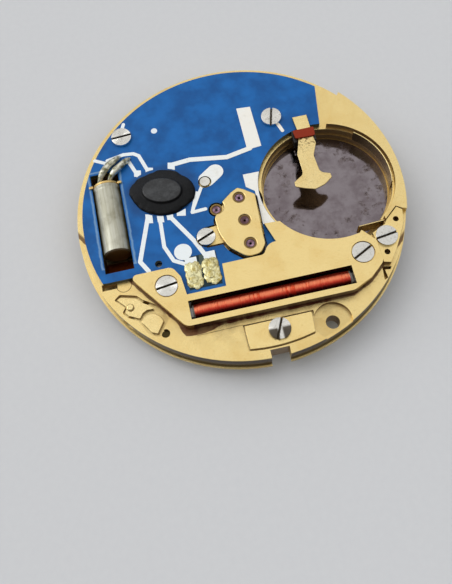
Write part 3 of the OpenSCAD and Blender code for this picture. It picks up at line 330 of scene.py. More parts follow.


# %% [markdown]
# ## The cover's gold
# The cover and the bridge mirror the room on top. Their sides that face us get painted
# shade, browner near the foot, each jewel gets painted shade in a dark cup, and the walls
# of the coil's window get the wire's red as painted shade and reflection. The springs get
# painted shade on the sides that face us, and the contact that held the cell is stained
# at its root, with painted shade on its upright sides.

# %% Gold of the cover, the springs and the contact
COIL_MIDDLE = Vector((0.65, -8.25, 1.72))
JEWEL_CENTRES = [(0, 0), (0, -2), (0, -4), (-1.9, -0.4)]

cover_gold = gilding("gilt_cover", colour(252, 228, 162), 0.25, 0.8)
x, y, z = cover_gold.parts()
nx, ny, nz = cover_gold.facing()
# Painted shade: the sides that face us, most of all low down, are darkened and made less metallic; the
# jewels' cups are darkened, and the coil window's walls take a painted dark red, the wire's shade and
# reflection.
shaded_skirt = nz.size().step(0.5, 0.15) * ny.step(0.5, -0.1)
shaded_low_skirt = z.step(2.25, 2.05) * nz.size().step(0.8, 0.3)
jewel_cup_shade = cover_gold.far_from(JEWEL_CENTRES).step(0.5, 0.44) * z.step(2.46, 2.4)
window_red_shade = cover_gold.beyond(COIL_MIDDLE, 6.0, 1.2).step(0.1, 0) * nz.size().step(0.5, 0.2)
cover_gold.feed("Metallic", 1.0 - (shaded_skirt * shaded_low_skirt).clamp() * 0.6)
cover_side_shade = shaded_skirt * 0.5 + shaded_low_skirt * 0.5 + jewel_cup_shade * 0.85
tarnish(cover_gold, cover_side_shade, colour(120, 80, 26), colour(70, 38, 12))
tarnish(cover_gold, window_red_shade * 0.95, colour(74, 22, 12), colour(34, 8, 6))

spring_gold = gilding("gilt_spring", colour(252, 230, 168), 0.24, 1.2)
nx, ny, nz = spring_gold.facing()
# Painted shade on the sides that face us.
spring_side_shade = nz.size().step(0.5, 0.15) * ny.step(0.3, -0.2)
tarnish(spring_gold, spring_side_shade * 0.85, colour(84, 56, 18), colour(40, 22, 8))

finger_gold = gilding("gilt_finger", colour(252, 230, 168), 0.26, 1.6)
x, y, z = finger_gold.parts()
nx, ny, nz = finger_gold.facing()
root_dirt = finger_gold.noise(4.0, 5.0, 0.7).step(0.5, 0.62) * y.step(2.6, 4.2) * 0.9
flecks = finger_gold.noise(9.0, 4.0, 0.7).step(0.6, 0.7) * 0.45
# Real stains at the root and flecks, and painted shade on the upright sides.
finger_dirt_and_shade = root_dirt + flecks + nz.size().step(0.5, 0.2) * 0.5
tarnish(finger_gold, finger_dirt_and_shade, colour(120, 80, 30), colour(60, 34, 14))

aged_gold = gilding("gilt_aged", colour(232, 204, 140), 0.28)
wheel_brass = gilding("wheel_brass", colour(230, 196, 120), 0.22, 0.5)
print("golds:", len(bpy.data.materials))

# %% [markdown]
# ## Turned steel
# Pinions and small screws are turned and then polished, so that their lines run round. The
# same recipe with a darker tint gives soft iron, and with a brown one the painted shade on
# the floor of a screw's slot. A dark olive one is painted shade where the jumper's screw
# sits in a hole.

# %% Steel and iron
def turned_steel(name, tint, rough):
    steel = Finish(name, {"Metallic": 1.0})
    streak = steel.noise(4.0, 4.0, 0.7, (1, 12, 1))
    fine = steel.noise(30.0, 3.0)
    smudge = steel.noise(1.3, 3.0).step(0.5, 0.75)
    worn = (streak * 0.3 + fine * 0.15 + smudge * 0.4).clamp()
    steel.feed("Base Color", steel.mix(worn, tint, darker(tint, 0.62, 0.6, 0.58)))
    steel.feed("Roughness", rough + (streak - 0.5) * 0.14)
    steel.bump(streak, 0.002, 0.5)
    return steel


bright_steel = turned_steel("turned_steel", colour(238, 236, 228), 0.16)
# Painted shade: the dark floor of each screw's slot.
slot_grease = turned_steel("slot_grease", colour(70, 62, 48), 0.4)
soft_iron = turned_steel("soft_iron", colour(150, 150, 152), 0.34)
pinion_steel = turned_steel("pinion_steel", colour(205, 206, 210), 0.16)
# Painted shade: a dark olive finish that stands in for the shade in the jumper screw's hole.
oiled_steel = turned_steel("oiled_steel", colour(74, 64, 38), 0.3)
print("steel nodes:", len(bright_steel.tree.nodes))

# %% [markdown]
# ## The screws' steel
# A screw's head shows the rings that the lathe left, and they have to run round its own
# middle. One finish serves all seven: the distance to the nearest screw gives the rings
# through a sine. The screw of the clamp gets a painted dark reflection on the side towards
# us.

# %% Screw heads' finish
SCREW_PLACES = {
    "board_screws": [(-8.09, 7.9), (4.18, 6.81)],
    "cover_screws": [(-6.76, -5.99), (7.88, -6.71)],
    "bridge_screw": [(-3.12, -2.58)],
    "contact_screw": [(10.01, -5.72)],
    "clamp_screw": [(0.59, -10.85)]}

screw_steel = Finish("screw_steel", {"Metallic": 1.0})
every_screw = [place for places in SCREW_PLACES.values() for place in places]
lathe_rings = (screw_steel.far_from(every_screw) * 110).wave()
scuff = screw_steel.noise(5.0, 5.0, 0.7)
streak = screw_steel.noise(3.0, 4.0, 0.7, (1, 10, 1)).step(0.5, 0.75)
dirt = (scuff.step(0.54, 0.7) * 0.5 + streak * 0.3).clamp()
bare = screw_steel.mix(dirt, colour(236, 234, 227), colour(132, 122, 100))

x, y, z = screw_steel.parts()
clamp_x, clamp_y = SCREW_PLACES["clamp_screw"][0]
across, along = (x - clamp_x).size(), y - clamp_y
# Painted reflection: a dark wedge on the clamp screw's head, on the side towards us.
painted_dark_reflection = along.step(0.16, -0.05) * across.step(0.08, 0.24)
painted_dark_reflection = painted_dark_reflection * along.size().step(1.0, 0.9) * across.step(1.0, 0.9)
screw_steel.feed("Base Color", screw_steel.mix(painted_dark_reflection * 0.92, bare, colour(54, 42, 20)))
screw_steel.feed("Roughness", 0.14 + scuff * 0.12)
screw_steel.bump(lathe_rings * 0.8 + scuff * 0.6, 0.004, 1.0)
print("metals:", len(bpy.data.materials))

# %% [markdown]
# ## The main plate's gilding
# The plate needs more than plain gilding. Old varnish has greyed the trough under the
# crystal, and painted shadow blackens its near end. The coil's bed gets the wire's red as
# painted shade, painted shade darkens the pockets, the low floors and the rim's walls
# towards us, stains lie near the cover, and a fine ring is cut beside the setting lever.
# The places are known, so each mark is a mask made from distances in the piece's own
# coordinates.

# %% Masks on the plate
CAN_X, CAN_Z, CAN_FROM, CAN_TO, CAN_RADIUS = -10.02, 1.45, -2.25, 3.7, 1.08
LEVER_RING, LEVER_RING_RADIUS = (-9.95, -4.78), 0.58

plate_gold = gilding("gilt_plate", colour(250, 226, 160), 0.29)
x, y, z = plate_gold.parts()
nx, ny, nz = plate_gold.facing()
from_middle = plate_gold.far_from([(0, 0)])
level = nz.step(0.5, 0.9)
upright = nz.size().step(0.4, 0.15)
top, below_top = z.step(1.5, 1.58), z.step(1.58, 1.5)
shaded = ny.step(-0.15, -0.85)

trough = plate_gold.beyond((CAN_X, 1.0), 1.35, 4.6).step(0.02, -0.02) * below_top
# Painted shadow: the trough's near end, under the can's closed end, is blackened.
trough_end_shadow = y.step(-2.1, -2.5)
# Painted shade and reflection: the plate under the coil takes on the wire's dark red.
coil_bed_red_shade = plate_gold.beyond(COIL_MIDDLE, 6.1, 1.1).step(0.1, 0)
# Painted shade: the low floors and the pockets' walls that face us are darkened.
deep_floor_shade = z.step(1.42, 1.0) * level * from_middle.step(12.7, 12.5)
ring = (plate_gold.far_from([LEVER_RING]) - LEVER_RING_RADIUS).size().step(0.04, 0.02) * top
# Painted shade on the rim: its walls towards us, the lip below them and the ledge at the front.
rim_wall_shade = upright * from_middle.step(12.4, 12.5) * shaded * z.step(1.56, 1.46) * z.step(0.12, 0.3)
rim_corner_shade = from_middle.step(12.93, 12.83) * from_middle.step(12.6, 12.7) * level
rim_corner_shade = rim_corner_shade * z.step(0.5, 0.4) * y.step(-4.0, -10.0)
pocket_wall_shade = upright * from_middle.step(12.5, 12.4) * ny.step(0.25, -0.25) * 0.8
rim_lip_shade = upright * from_middle.step(12.8, 12.9) * z.step(0.42, 0.3) * shaded
stain = plate_gold.noise(1.1, 4.0).step(0.36, 0.66)
near_cover = from_middle.step(12.4, 9.0) * y.step(-5.5, -8.5) * stain
print("mask nodes:", len(plate_gold.tree.nodes))

# %% [markdown]
# ## Painted shadow along the cover's foot
# A dark line of painted shadow and reflection lies on the plate all along the cover. The
# cover's outline is a few straight edges there, so the distance from it is the greatest
# of the distances past each edge. The line is wider at the corner, and noise makes its
# outer edge uneven.

# %% The plate's dirt and painted shade
COVER_EDGES = [((-9.4, -4.6), (-0.8092, -0.5876)), ((0, -9.43), (0, -1)),
               ((6.5, -9.44), (0.43, -0.903)), ((7.95, -8.75), (0.65, -0.76))]
COVER_CORNER = (-5.2, -9.5)

from_cover = None
for point, outwards in COVER_EDGES:
    past = (x - point[0]) * outwards[0] + (y - point[1]) * outwards[1]
    from_cover = past if from_cover is None else from_cover.higher(past)
aside, ahead = x - COVER_CORNER[0], y - COVER_CORNER[1]
from_corner = (aside * aside * 0.3 + ahead * ahead).root()
reach = 0.16 + from_corner.step(1.1, 0.2) * 0.42 + (plate_gold.noise(2.2, 3.0) - 0.5) * 0.16
cover_foot_shadow = (reach - from_cover).step(0.0, 0.06) * from_cover.step(-0.3, -0.1) * top * level

# Real stains and the cut ring, with painted shadow and shade at the trough's end, on the low floors, in
# the pockets and along the cover's foot.
soot_and_shade = trough * trough_end_shadow * 0.96 + deep_floor_shade * 0.4 + ring * 0.7
soot_and_shade = soot_and_shade + pocket_wall_shade + near_cover * 0.4 + cover_foot_shadow * 0.85
rim_shade = rim_wall_shade + rim_lip_shade * 0.3 + rim_corner_shade * 0.8
tarnish(plate_gold, rim_shade, colour(64, 42, 8), colour(30, 17, 3))
tarnish(plate_gold, coil_bed_red_shade * 0.96, colour(60, 14, 10), colour(28, 8, 6))
# The painted shade on the rim's walls, in the pockets and along the cover's foot is also made less
# metallic.
plate_gold.feed("Metallic", 1.0 - (rim_wall_shade + pocket_wall_shade + cover_foot_shadow).clamp() * 0.5)
tarnish(plate_gold, trough * (1.0 - trough_end_shadow) * 0.9, colour(206, 202, 164), colour(134, 130, 92))
tarnish(plate_gold, soot_and_shade, colour(104, 46, 14), colour(48, 20, 8))
print("plate nodes:", len(plate_gold.tree.nodes))

# %% [markdown]
# ## The blue board
# The board is laminate under satin blue lacquer. A shader can tell its top from its cut
# edge by the surface normal, so one material serves both. The slot for the crystal has a
# pale printed line round it, a white dot marks the board's upper left, and the lacquer
# is missing round the coil's pads. All are drawn by measuring how far a point is from a
# shape, a trick called a distance field.

# %% Board
WHITE_DOT, BARE_PATCH, CHIP_SHADE = (-5.38, 7.96), (-3.93, -5.2), (-5.75, 2.15)

board = Finish("board_lacquer", {"Coat Weight": 0.06, "Coat Roughness": 0.2, "Specular IOR Level": 0.25})
x, y, z = board.parts()
nx, ny, nz = board.facing()
weave = board.noise(16.0, 3.0)
cloud = board.noise(0.6, 3.0)
blue = board.mix(cloud.step(0.3, 0.7), colour(16, 98, 170), colour(6, 78, 142))
blue = board.mix(weave.step(0.55, 0.85) * 0.4, blue, colour(52, 116, 178))

from_slot = board.beyond((CAN_X, 0.9), 1.11, 4.1)
wander = board.noise(1.6, 3.0) - 0.5
printed_line = (from_slot - 0.16 + wander * 0.18).size().step(0.13, 0.02)
blue = board.mix(printed_line * 0.75, blue, colour(120, 156, 190))

# Painted shadow: the board is darker round the chip.
aside, ahead = x - CHIP_SHADE[0], y - CHIP_SHADE[1]
chip_shadow = ((aside * aside * 0.16 + ahead * ahead * 0.24).root() - 1.0).step(0.35, 0.05)
blue = board.mix(chip_shadow * 0.55, blue, colour(20, 60, 110))
dot = board.far_from([WHITE_DOT]).step(0.274, 0.2345)
blue = board.mix(dot, blue, colour(224, 230, 236))

green = board.beyond(BARE_PATCH, 0, 0.1).step(1.3, 1.2)
strip = (x - BARE_PATCH[0] - (y - BARE_PATCH[1]) * 0.1).size().step(0.22, 0.16)
strip = strip * y.step(-5.3, -5.1) * y.step(-3.8, -3.95)
blue = board.mix(green * 0.95, blue, colour(10, 34, 26))
blue = board.mix(strip * 0.85, blue, colour(72, 86, 80))
laminate = board.mix(weave, colour(74, 80, 60), colour(44, 50, 36))
board.feed("Base Color", board.mix(nz.size().step(0.4, 0.7), laminate, blue))
board.feed("Roughness", 0.34 + weave * 0.16 - green * 0.2)
board.bump(weave, 0.005, 0.5)
print("board nodes:", len(board.tree.nodes))

# %% [markdown]
# ## Tinned tracks
# The tracks are copper under a thin coat of tin, matt and nearly white. They are a little
# warmer towards the cell well, and dull in patches.

# %% Tracks
tracks = Finish("tinned_track", {"Metallic": 0.1})
patch = tracks.noise(2.2, 4.0)
pit = tracks.noise(18.0, 3.0)
x, y, z = tracks.parts()
warm_side = (x * 0.1 + 0.5 + (patch - 0.5) * 0.5).clamp()
tin = tracks.mix(warm_side, colour(232, 238, 240), colour(242, 236, 224))
tracks.feed("Base Color", tracks.mix(patch.step(0.55, 0.8) * 0.4, tin, colour(206, 206, 198)))
tracks.feed("Roughness", 0.4 + pit * 0.2)
tracks.bump(pit, 0.006, 0.6)
print("track nodes:", len(tracks.tree.nodes))

# %% [markdown]
# ## Sealing resin
# The resin over the chip is matt and black at its foot and has a skin of gloss on top.
# Painted shade darkens the foot towards the front and the flanks that face us, and the top
# is painted lighter.
# The shader's coat makes that skin, and its weight falls off towards the foot.

# %% Resin
resin = Finish("chip_resin", {"Specular IOR Level": 0.14, "Coat Roughness": 0.22})
x, y, z = resin.parts()
nx, ny, nz = resin.facing()
mottle = resin.noise(2.2, 5.0, 0.62)
foot = z.step(2.45, 2.38)
# Painted light and shade: the top lighter, the foot darker towards the front, the flanks that face us
# nearly black.
top_shade = resin.mix(mottle.step(0.35, 0.75), colour(30, 31, 33), colour(58, 60, 62))
foot_shade = resin.mix(y.step(1.4, 3.0), colour(9, 10, 12), colour(26, 27, 30))
shade = resin.mix(foot * 0.9, top_shade, foot_shade)
near_flank_shade = nz.step(0.99, 0.85) * ny.step(0.3, -0.2)
resin.feed("Base Color", resin.mix(near_flank_shade, shade, colour(3, 3, 4)))
resin.feed("Coat Weight", 0.7 - foot * 0.66)
resin.feed("Roughness", 0.2 + mottle * 0.3)
resin.bump(mottle + resin.noise(7.0, 4.0, 0.65) * 0.35, 0.09, 0.8)
print("resin nodes:", len(resin.tree.nodes))

# %% [markdown]
# ## Ruby
# The jewels are glassy and nearly black where they are deep, with a paler ring round each
# pivot, a painted highlight on the polished sink. The distance from the nearest pivot draws
# the ring. It is fainter on the middle jewel of the row, whose stone is redder.

# %% Ruby
ruby = Finish("ruby", {"Coat Weight": 0.5, "Coat Roughness": 0.05})
depth = ruby.noise(3.0, 3.0)
from_pivot = ruby.far_from(JEWEL_CENTRES)
dark_jewel = ruby.far_from([JEWEL_CENTRES[1]]).step(0.7, 0.6)
# Painted highlight: the pale ring of each jewel's polished sink.
sink_highlight = from_pivot.step(0.3, 0.27) * from_pivot.step(0.1, 0.14) * (1.0 - dark_jewel * 0.75)
stone = ruby.mix(depth, colour(112, 66, 86), colour(84, 46, 66))
sink_highlight_tone = ruby.mix(depth, colour(176, 138, 160), colour(140, 104, 130))
hollow = ruby.mix(dark_jewel, colour(44, 18, 26), colour(66, 14, 14))
lit = ruby.mix(depth.step(0.4, 0.6), sink_highlight_tone, stone)
ruby.feed("Base Color", ruby.mix(sink_highlight, hollow, lit))
ruby.feed("Roughness", 0.08 + depth * 0.15)
print("ruby nodes:", len(ruby.tree.nodes))

# %% [markdown]
# ## The film in the well
# The film on the well's floor is a dark mirror, so that the contact above it shows as a
# black shape: a metal with a dark tint gives exactly that. Noise adds haze and dull blots.

# %% Film
WELL_X = 7

film = Finish("well_film", {"Metallic": 1.0})
x, y, z = film.parts()
haze = film.noise(0.9, 5.0, 0.62)
outer_part = ((x - WELL_X) * (x - WELL_X) + y * y).step(5.0, 12.0)
blots = film.noise(1.5, 5.0, 0.7).step(0.5, 0.66) * outer_part
blot_rims = (film.noise(5.0, 3.0, 0.6) - 0.55).size().step(0.035, 0.01) * blots
grey = film.mix(haze.step(0.35, 0.7), colour(138, 130, 134), colour(116, 106, 110))
grey = film.mix(blots * 0.55, grey, colour(92, 76, 70))
film.feed("Base Color", film.mix(blot_rims * 0.9, grey, colour(30, 26, 28)))
film.feed("Roughness", 0.06 + haze * 0.08 + blots * 0.25)
film.bump(film.noise(1.3, 2.0) + blots * 0.2, 0.012, 0.4)
print("film nodes:", len(film.tree.nodes))

# %% [markdown]
# ## Red wire
# The wire's enamel is red varnish over bright copper. A painted highlight runs along the
# top of the coil, and painted shade makes it nearly black low on the side towards us. Both
# are painted from the way the surface faces, and noise that is stretched round the turns
# keeps their borders ragged.

# %% Wire
enamel_wire = Finish("enamelled_wire", {"Metallic": 0.9, "Coat Weight": 0.15, "Coat Roughness": 0.2})
nx, ny, nz = enamel_wire.facing()
strand = enamel_wire.noise(24.0, 2.0, 0.5, (1, 0.08, 0.08))
bright = enamel_wire.noise(1.4, 3.0, 0.6, (1, 0.3, 0.3))
red = enamel_wire.mix(strand.step(0.3, 0.7), colour(226, 76, 52), colour(200, 46, 32))
# Painted highlight along the top, and painted shade low on the side towards us.
glint_highlight_tone = enamel_wire.mix(strand, colour(255, 168, 120), colour(240, 112, 76))
painted_glint_line = (ny - 0.12 + (bright - 0.5) * 0.3).size().step(0.5, 0.05) * nz.step(0.0, 0.5)
red = enamel_wire.mix(painted_glint_line * 0.85, red, glint_highlight_tone)
low_side_shade = (ny + (strand - 0.5) * 0.3).step(-0.34, -0.66) * 0.95
deep_red_shade = enamel_wire.mix(strand, colour(110, 18, 16), colour(70, 8, 8))
enamel_wire.feed("Base Color", enamel_wire.mix(low_side_shade, red, deep_red_shade))
enamel_wire.feed("Roughness", 0.3 + strand * 0.12)
print("wire nodes:", len(enamel_wire.tree.nodes))

# %% [markdown]
# ## The can's metal
# The can is drawn from one sheet, so its lines run lengthways, and tarnish lies over
# them. Noise that is stretched along one axis gives such lines. Its sides get a painted
# dark olive reflection, and its closed end, which faces us, a painted dark brown one.

# %% Can
can_metal = Finish("can_metal", {"Metallic": 0.6})
nx, ny, nz = can_metal.facing()
drawn = can_metal.noise(6.0, 4.0, 0.65, (1, 0.06, 1))
patina = can_metal.noise(0.8, 4.0).step(0.45, 0.8)
silver = can_metal.mix(drawn.step(0.3, 0.75), colour(206, 205, 190), colour(176, 172, 150))
olive_tarnish_and_reflection = can_metal.mix(drawn, colour(128, 120, 84), colour(84, 74, 44))
# Painted reflection: the can's sides darker olive, and its closed end towards us dark brown.
flank_reflection = (nx.size().step(0.72, 0.95) * (1.0 - ny.size())).clamp()
tone = can_metal.mix((patina * 0.5 + flank_reflection * 0.75).clamp(), silver, olive_tarnish_and_reflection)
can_metal.feed("Base Color", can_metal.mix(ny.step(-0.5, -0.9), tone, colour(92, 66, 34)))
can_metal.feed("Roughness", 0.3 + drawn * 0.2)
can_metal.bump(drawn, 0.004, 0.5)
print("can nodes:", len(can_metal.tree.nodes))

# %% [markdown]
# ## Solder
# Solder is lumpy and yellow with flux. The leads are covered with it too, but are duller.

# %% Solder and leads
solder = Finish("solder", {"Metallic": 0.8})
flux = solder.noise(2.6, 5.0, 0.7)
solder.feed("Base Color", solder.mix(flux.step(0.4, 0.66), colour(244, 238, 188), colour(182, 164, 92)))
solder.feed("Roughness", 0.16 + flux * 0.3)
solder.bump(solder.noise(5.0, 3.0), 0.03, 0.6)

lead_metal = Finish("lead_metal", {"Metallic": 0.9})
dull = lead_metal.noise(2.4, 4.0)
lead_tone = lead_metal.mix(dull.step(0.4, 0.7), colour(236, 234, 216), colour(110, 106, 60))
lead_metal.feed("Base Color", lead_tone)
lead_metal.feed("Roughness", 0.18 + dull * 0.25)
lead_metal.bump(lead_metal.noise(5.0, 3.0), 0.04, 0.5)
print("solder nodes:", len(solder.tree.nodes))

# %% [markdown]
# ## Plastics, enamel and ink
# What is left is dull and nearly one colour. Two close tones and a fleck of noise between
# them keep it from looking like a computer's plastic, so one recipe serves all of it. The
# red insulator is fibre paper, whose strands run one way.

# %% Flecked finishes
def flecked(name, constants, scale, detail, tones, rough, spread):
    """Two close tones, mixed by a fleck that also changes the gloss."""
    finish = Finish(name, constants)
    fleck = finish.noise(scale, detail)
    finish.feed("Base Color", finish.mix(fleck, *tones))
    finish.feed("Roughness", rough + fleck * spread)
    return finish


black_tones = colour(30, 27, 26), colour(18, 16, 16)
black_plastic = flecked("black_plastic", {"Coat Weight": 0.1}, 20.0, 2.0, black_tones, 0.35, 0.2)
flange_tones = colour(112, 108, 100), colour(70, 66, 60)
flange_grey = flecked("flange_plastic", {"Coat Weight": 0.3}, 6.0, 3.0, flange_tones, 0.3, 0.2)
enamel_tones = colour(240, 238, 230), colour(228, 225, 214)
white_enamel = flecked("date_enamel", {"Coat Weight": 0.3}, 6.0, 3.0, enamel_tones, 0.28, 0.1)
ink_tones = colour(22, 22, 24), colour(40, 40, 44)
figure_ink = flecked("figure_ink", {}, 10.0, 2.0, ink_tones, 0.35, 0.2)

red_paper = Finish("insulating_paper", {"Specular IOR Level": 0.2})
fibre = red_paper.noise(12.0, 4.0, 0.6, (1, 3, 1))
red_paper.feed("Base Color", red_paper.mix(fibre, colour(158, 54, 24), colour(106, 28, 10)))
red_paper.feed("Roughness", 0.4 + fibre * 0.2)
red_paper.bump(fibre, 0.01, 0.6)
print("finishes:", len(bpy.data.materials))

# %% [markdown]
# ## Dressing the hidden and the plain pieces
# Many solids already have their real shape and only need a finish. That holds above all
# for what works inside, under the cover and the bridge.

# %% Finish the CAD pieces
def dress(finish, *names):
    for name in names:
        nodes[name].data.materials.clear()
        nodes[name].data.materials.append(finish.material)


dress(cover_gold, "date_keeper")
dress(wheel_brass, "intermediate_wheel", "seconds_wheel", "third_wheel", "centre_wheel",
      "minute_wheel", "hour_wheel", "setting_wheel", "date_driving_wheel")
dress(bright_steel, "board_stud", "keeper_screws", "wheel_posts")
# The jumper's screw is made dark, as painted shade of the hole it sits in.
dress(oiled_steel, "jumper_screw")
dress(pinion_steel, "rotor_pinion", "intermediate_pinion", "seconds_pinion", "third_pinion",
      "cannon_pinion", "sliding_pinion", "yoke", "date_jumper", "centre_tube")
dress(soft_iron, "stator", "rotor_magnet", "coil_core")
dress(board, "circuit_board")
dress(tracks, "circuit_tracks")
dress(ruby, "plate_jewels", "bridge_jewels")
dress(film, "battery_insulator")
dress(red_paper, "contact_insulator")
dress(flange_grey, "coil_flanges")
dress(white_enamel, "date_ring")
print("dressed:", sum(1 for n in nodes.values() if n.material_slots))

# %% [markdown]
# ## From a bmesh to a piece
# New pieces are built in millimetres. This helper merges doubled points, turns the faces
# outwards, scales to metres, keeps real edges sharp and sets the piece on its body. Faces
# that look straight up or down are shaded flat, because a broad flat face that is shaded
# smooth takes on false gradients from the bevels round it.

# %% A helper that makes pieces
TOUCHING, LEVEL = 1e-5, 0.9999


def new_piece(shape, name, finish, stands_for=(), sharp=35, body="movement"):
    bmesh.ops.remove_doubles(shape, verts=shape.verts, dist=TOUCHING)
    bmesh.ops.recalc_face_normals(shape, faces=shape.faces)
    bmesh.ops.scale(shape, vec=(MM, MM, MM), verts=shape.verts)
    mesh = bpy.data.meshes.new(name)
    shape.to_mesh(mesh)
    shape.free()
    mesh.materials.append(finish.material)
    mesh.shade_smooth()
    mesh.set_sharp_from_angle(angle=math.radians(sharp))
    for face in mesh.polygons:
        face.use_smooth = abs(face.normal.z) < LEVEL
    piece = bpy.data.objects.new(name, mesh)
    scene.collection.objects.link(piece)
    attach(piece, body)
    if stands_for:
        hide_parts(*stands_for)
    print(name, len(mesh.polygons), "faces")
    return piece


def everything_in(shape):
    return shape.verts[:] + shape.edges[:] + shape.faces[:]


def points_of(made):
    return [g for g in made["geom"] if isinstance(g, bmesh.types.BMVert)]


def edges_of(made):
    return [g for g in made["geom"] if isinstance(g, bmesh.types.BMEdge)]


def faces_of(made):
    return [g for g in made["geom"] if isinstance(g, bmesh.types.BMFace)]


def join(shape, other):
    """Adds a finished shape to another one."""
    carrier = bpy.data.meshes.new("carrier")
    other.to_mesh(carrier)
    other.free()
    shape.from_mesh(carrier)
    bpy.data.meshes.remove(carrier)


# %% [markdown]
# ## Edges that catch the light
# Stamped and milled parts never have a knife edge, and it is the rounded edge that shines
# in the photograph. A CAD node is made of loose triangles, so its shape is copied first,
# the copy's points are merged and its flat faces made whole, and then the edges that a
# hand could touch are bevelled: those that stick out and lie above a given height.

# %% Softened copies of CAD pieces
def copy_of(name):
    shape = bmesh.new()
    shape.from_mesh(nodes[name].data)
    bmesh.ops.scale(shape, vec=(1 / MM, 1 / MM, 1 / MM), verts=shape.verts)
    bmesh.ops.remove_doubles(shape, verts=shape.verts, dist=2e-4)
    bmesh.ops.dissolve_limit(shape, angle_limit=math.radians(0.6), verts=shape.verts, edges=shape.edges)
    return shape


def outer_edges(shape, test, least=40):
    found = []
    for edge in shape.edges:
        if len(edge.link_faces) != 2 or not edge.is_convex:
            continue
        if math.degrees(edge.calc_face_angle(0)) < least:
            continue
        middle = (edge.verts[0].co + edge.verts[1].co) / 2
        if test(middle, edge):
            found.append(edge)
    return found


def break_edges(shape, edges, width, segments=2, clamp=False):
    bmesh.ops.bevel(shape, geom=edges, offset=width, segments=segments, profile=0.5,
                    affect="EDGES", material=-1, clamp_overlap=clamp)


def soften(name, finish, *rounds, body="movement", slot_name="gilt_brass"):
    shape = copy_of(name)
    for test, width, segments in rounds:
        edges = outer_edges(shape, test)
        break_edges(shape, edges, width, segments, True)
        print(name, "edges rounded:", len(edges))
    new_piece(shape, name + "_soft", finish, [name], 30, body)


def above(height):
    """A test for the level edges that lie above a height."""
    def test(middle, edge):
        return middle.z > height and abs(edge.verts[0].co.z - edge.verts[1].co.z) < 1e-3
    return test


# %% [markdown]
# ## The plate, the cover and the bridge
# The cover is pressed from sheet, so its outline is well rounded and the window in it is
# crisp. The bridge is milled and then rounded a little. The plate has the finest edges,
# and the springs and contacts are stamped from strip.

# %% Plate, cover, bridge and springs
COVER_TOP = 2.45


def in_window(middle):
    from_coil = middle - COIL_MIDDLE
    return abs(from_coil.x) < 6.5 and abs(from_coil.y) < 1.2


def near_screw(middle):
    places = SCREW_PLACES["cover_screws"]
    return min(math.hypot(middle.x - x, middle.y - y) for x, y in places) < 1.1


def cover_holes(middle, edge):
    return above(COVER_TOP)(middle, edge) and (in_window(middle) or near_screw(middle))


def cover_rim(middle, edge):
    return above(COVER_TOP)(middle, edge) and not cover_holes(middle, edge)


soften("main_plate", plate_gold, (above(1.58), 0.045, 2))
soften("module_cover", cover_gold, (cover_holes, 0.05, 2), (cover_rim, 0.16, 4))
soften("train_bridge", cover_gold, (above(2.42), 0.1, 3))
soften("positive_contact", cover_gold, (above(2.08), 0.05, 2))
soften("clamp_plate", cover_gold, (above(1.58), 0.05, 2))
soften("keyless_jumper", spring_gold, (above(1.5), 0.04, 2))
soften("setting_lever", spring_gold, (above(1.5), 0.04, 2), body="lever")
soften("negative_contact", finger_gold, (above(2.15), 0.03, 2), body="negative_finger")
soften("negative_contact_clip", spring_gold, (above(2.15), 0.05, 2))
soften("positive_strip", spring_gold, (above(1.9), 0.02, 1))
soften("positive_spring", spring_gold, (above(2.0), 0.015, 1), body="positive_blade")
soften("lever_post", spring_gold, (above(1.7), 0.08, 3), slot_name="polished_steel")

# %% [markdown]
# ## The coil
# Thousands of turns of wire finer than a hair fill the spool, and what the eye sees is a
# ridged red cylinder with a bright line along its top. A ring of points is extruded along
# the core again and again, a little wider on the crest of a turn and narrower between
# two. Slow random waves make it look wound by hand rather than turned on a lathe, and the
# whole winding leans a little, as a helix does.

# %% Coil winding
COIL_LENGTH, COIL_RADIUS, COIL_LEAN = 11.6, 0.66, 0.1
RINGS = 2 * 160


def wind_coil():
    chance = random.Random(7)
    shape = bmesh.new()
    radius = COIL_RADIUS * 0.9
    bmesh.ops.create_circle(shape, cap_ends=True, radius=radius, segments=36)
    edge = shape.edges[:]
    drift = 0.0
    for i in range(RINGS):
        drift = 0.7 * drift + chance.uniform(-0.0015, 0.0015)
        from_end = min(i, RINGS - 1 - i) / 12
        valley = 0.0 if i % 2 else 0.022 + chance.uniform(0, 0.012)
        wanted = (COIL_RADIUS - 0.02 + drift * 0.5 - valley) * min(1.0, 0.94 + 0.06 * from_end)
        wanted = min(wanted, COIL_RADIUS - 0.004)
        made = bmesh.ops.extrude_edge_only(shape, edges=edge)
        ring, edge = points_of(made), edges_of(made)
        bmesh.ops.translate(shape, vec=(0, 0, COIL_LENGTH / RINGS), verts=ring)
        bmesh.ops.scale(shape, vec=(wanted / radius, wanted / radius, 1), verts=ring)
        radius = wanted
    bmesh.ops.contextual_create(shape, geom=edge)
    bmesh.ops.translate(shape, vec=(0, 0, -COIL_LENGTH / 2), verts=shape.verts)
    lean = Matrix(((1, 0, 0), (0, 1, 0), (COIL_LEAN, 0, 1)))
    middle_part = [v for v in shape.verts if abs(v.co.z) < COIL_LENGTH / 2 - 0.1]
    bmesh.ops.transform(shape, matrix=lean.to_4x4(), verts=middle_part)
    bmesh.ops.rotate(shape, matrix=Matrix.Rotation(math.radians(90), 3, "Y"), verts=shape.verts)
    bmesh.ops.translate(shape, vec=COIL_MIDDLE, verts=shape.verts)
    return shape


new_piece(wind_coil(), "coil_wire", enamel_wire, ["coil_winding"], 80)

# %% [markdown]
# ## Screws
# A watch screw's head is turned flat, polished, and its rim is broken with a small
# bevel. The head starts as a disc. Two cuts divide it along the slot, the whole disc is
# drawn up to the slot's floor, and then only the two cheeks are drawn up further.

# %% Screw heads
HEAD_HEIGHT, SLOT_WIDTH, SLOT_DEPTH, SHANK = 0.25, 0.13, 0.19, 0.6


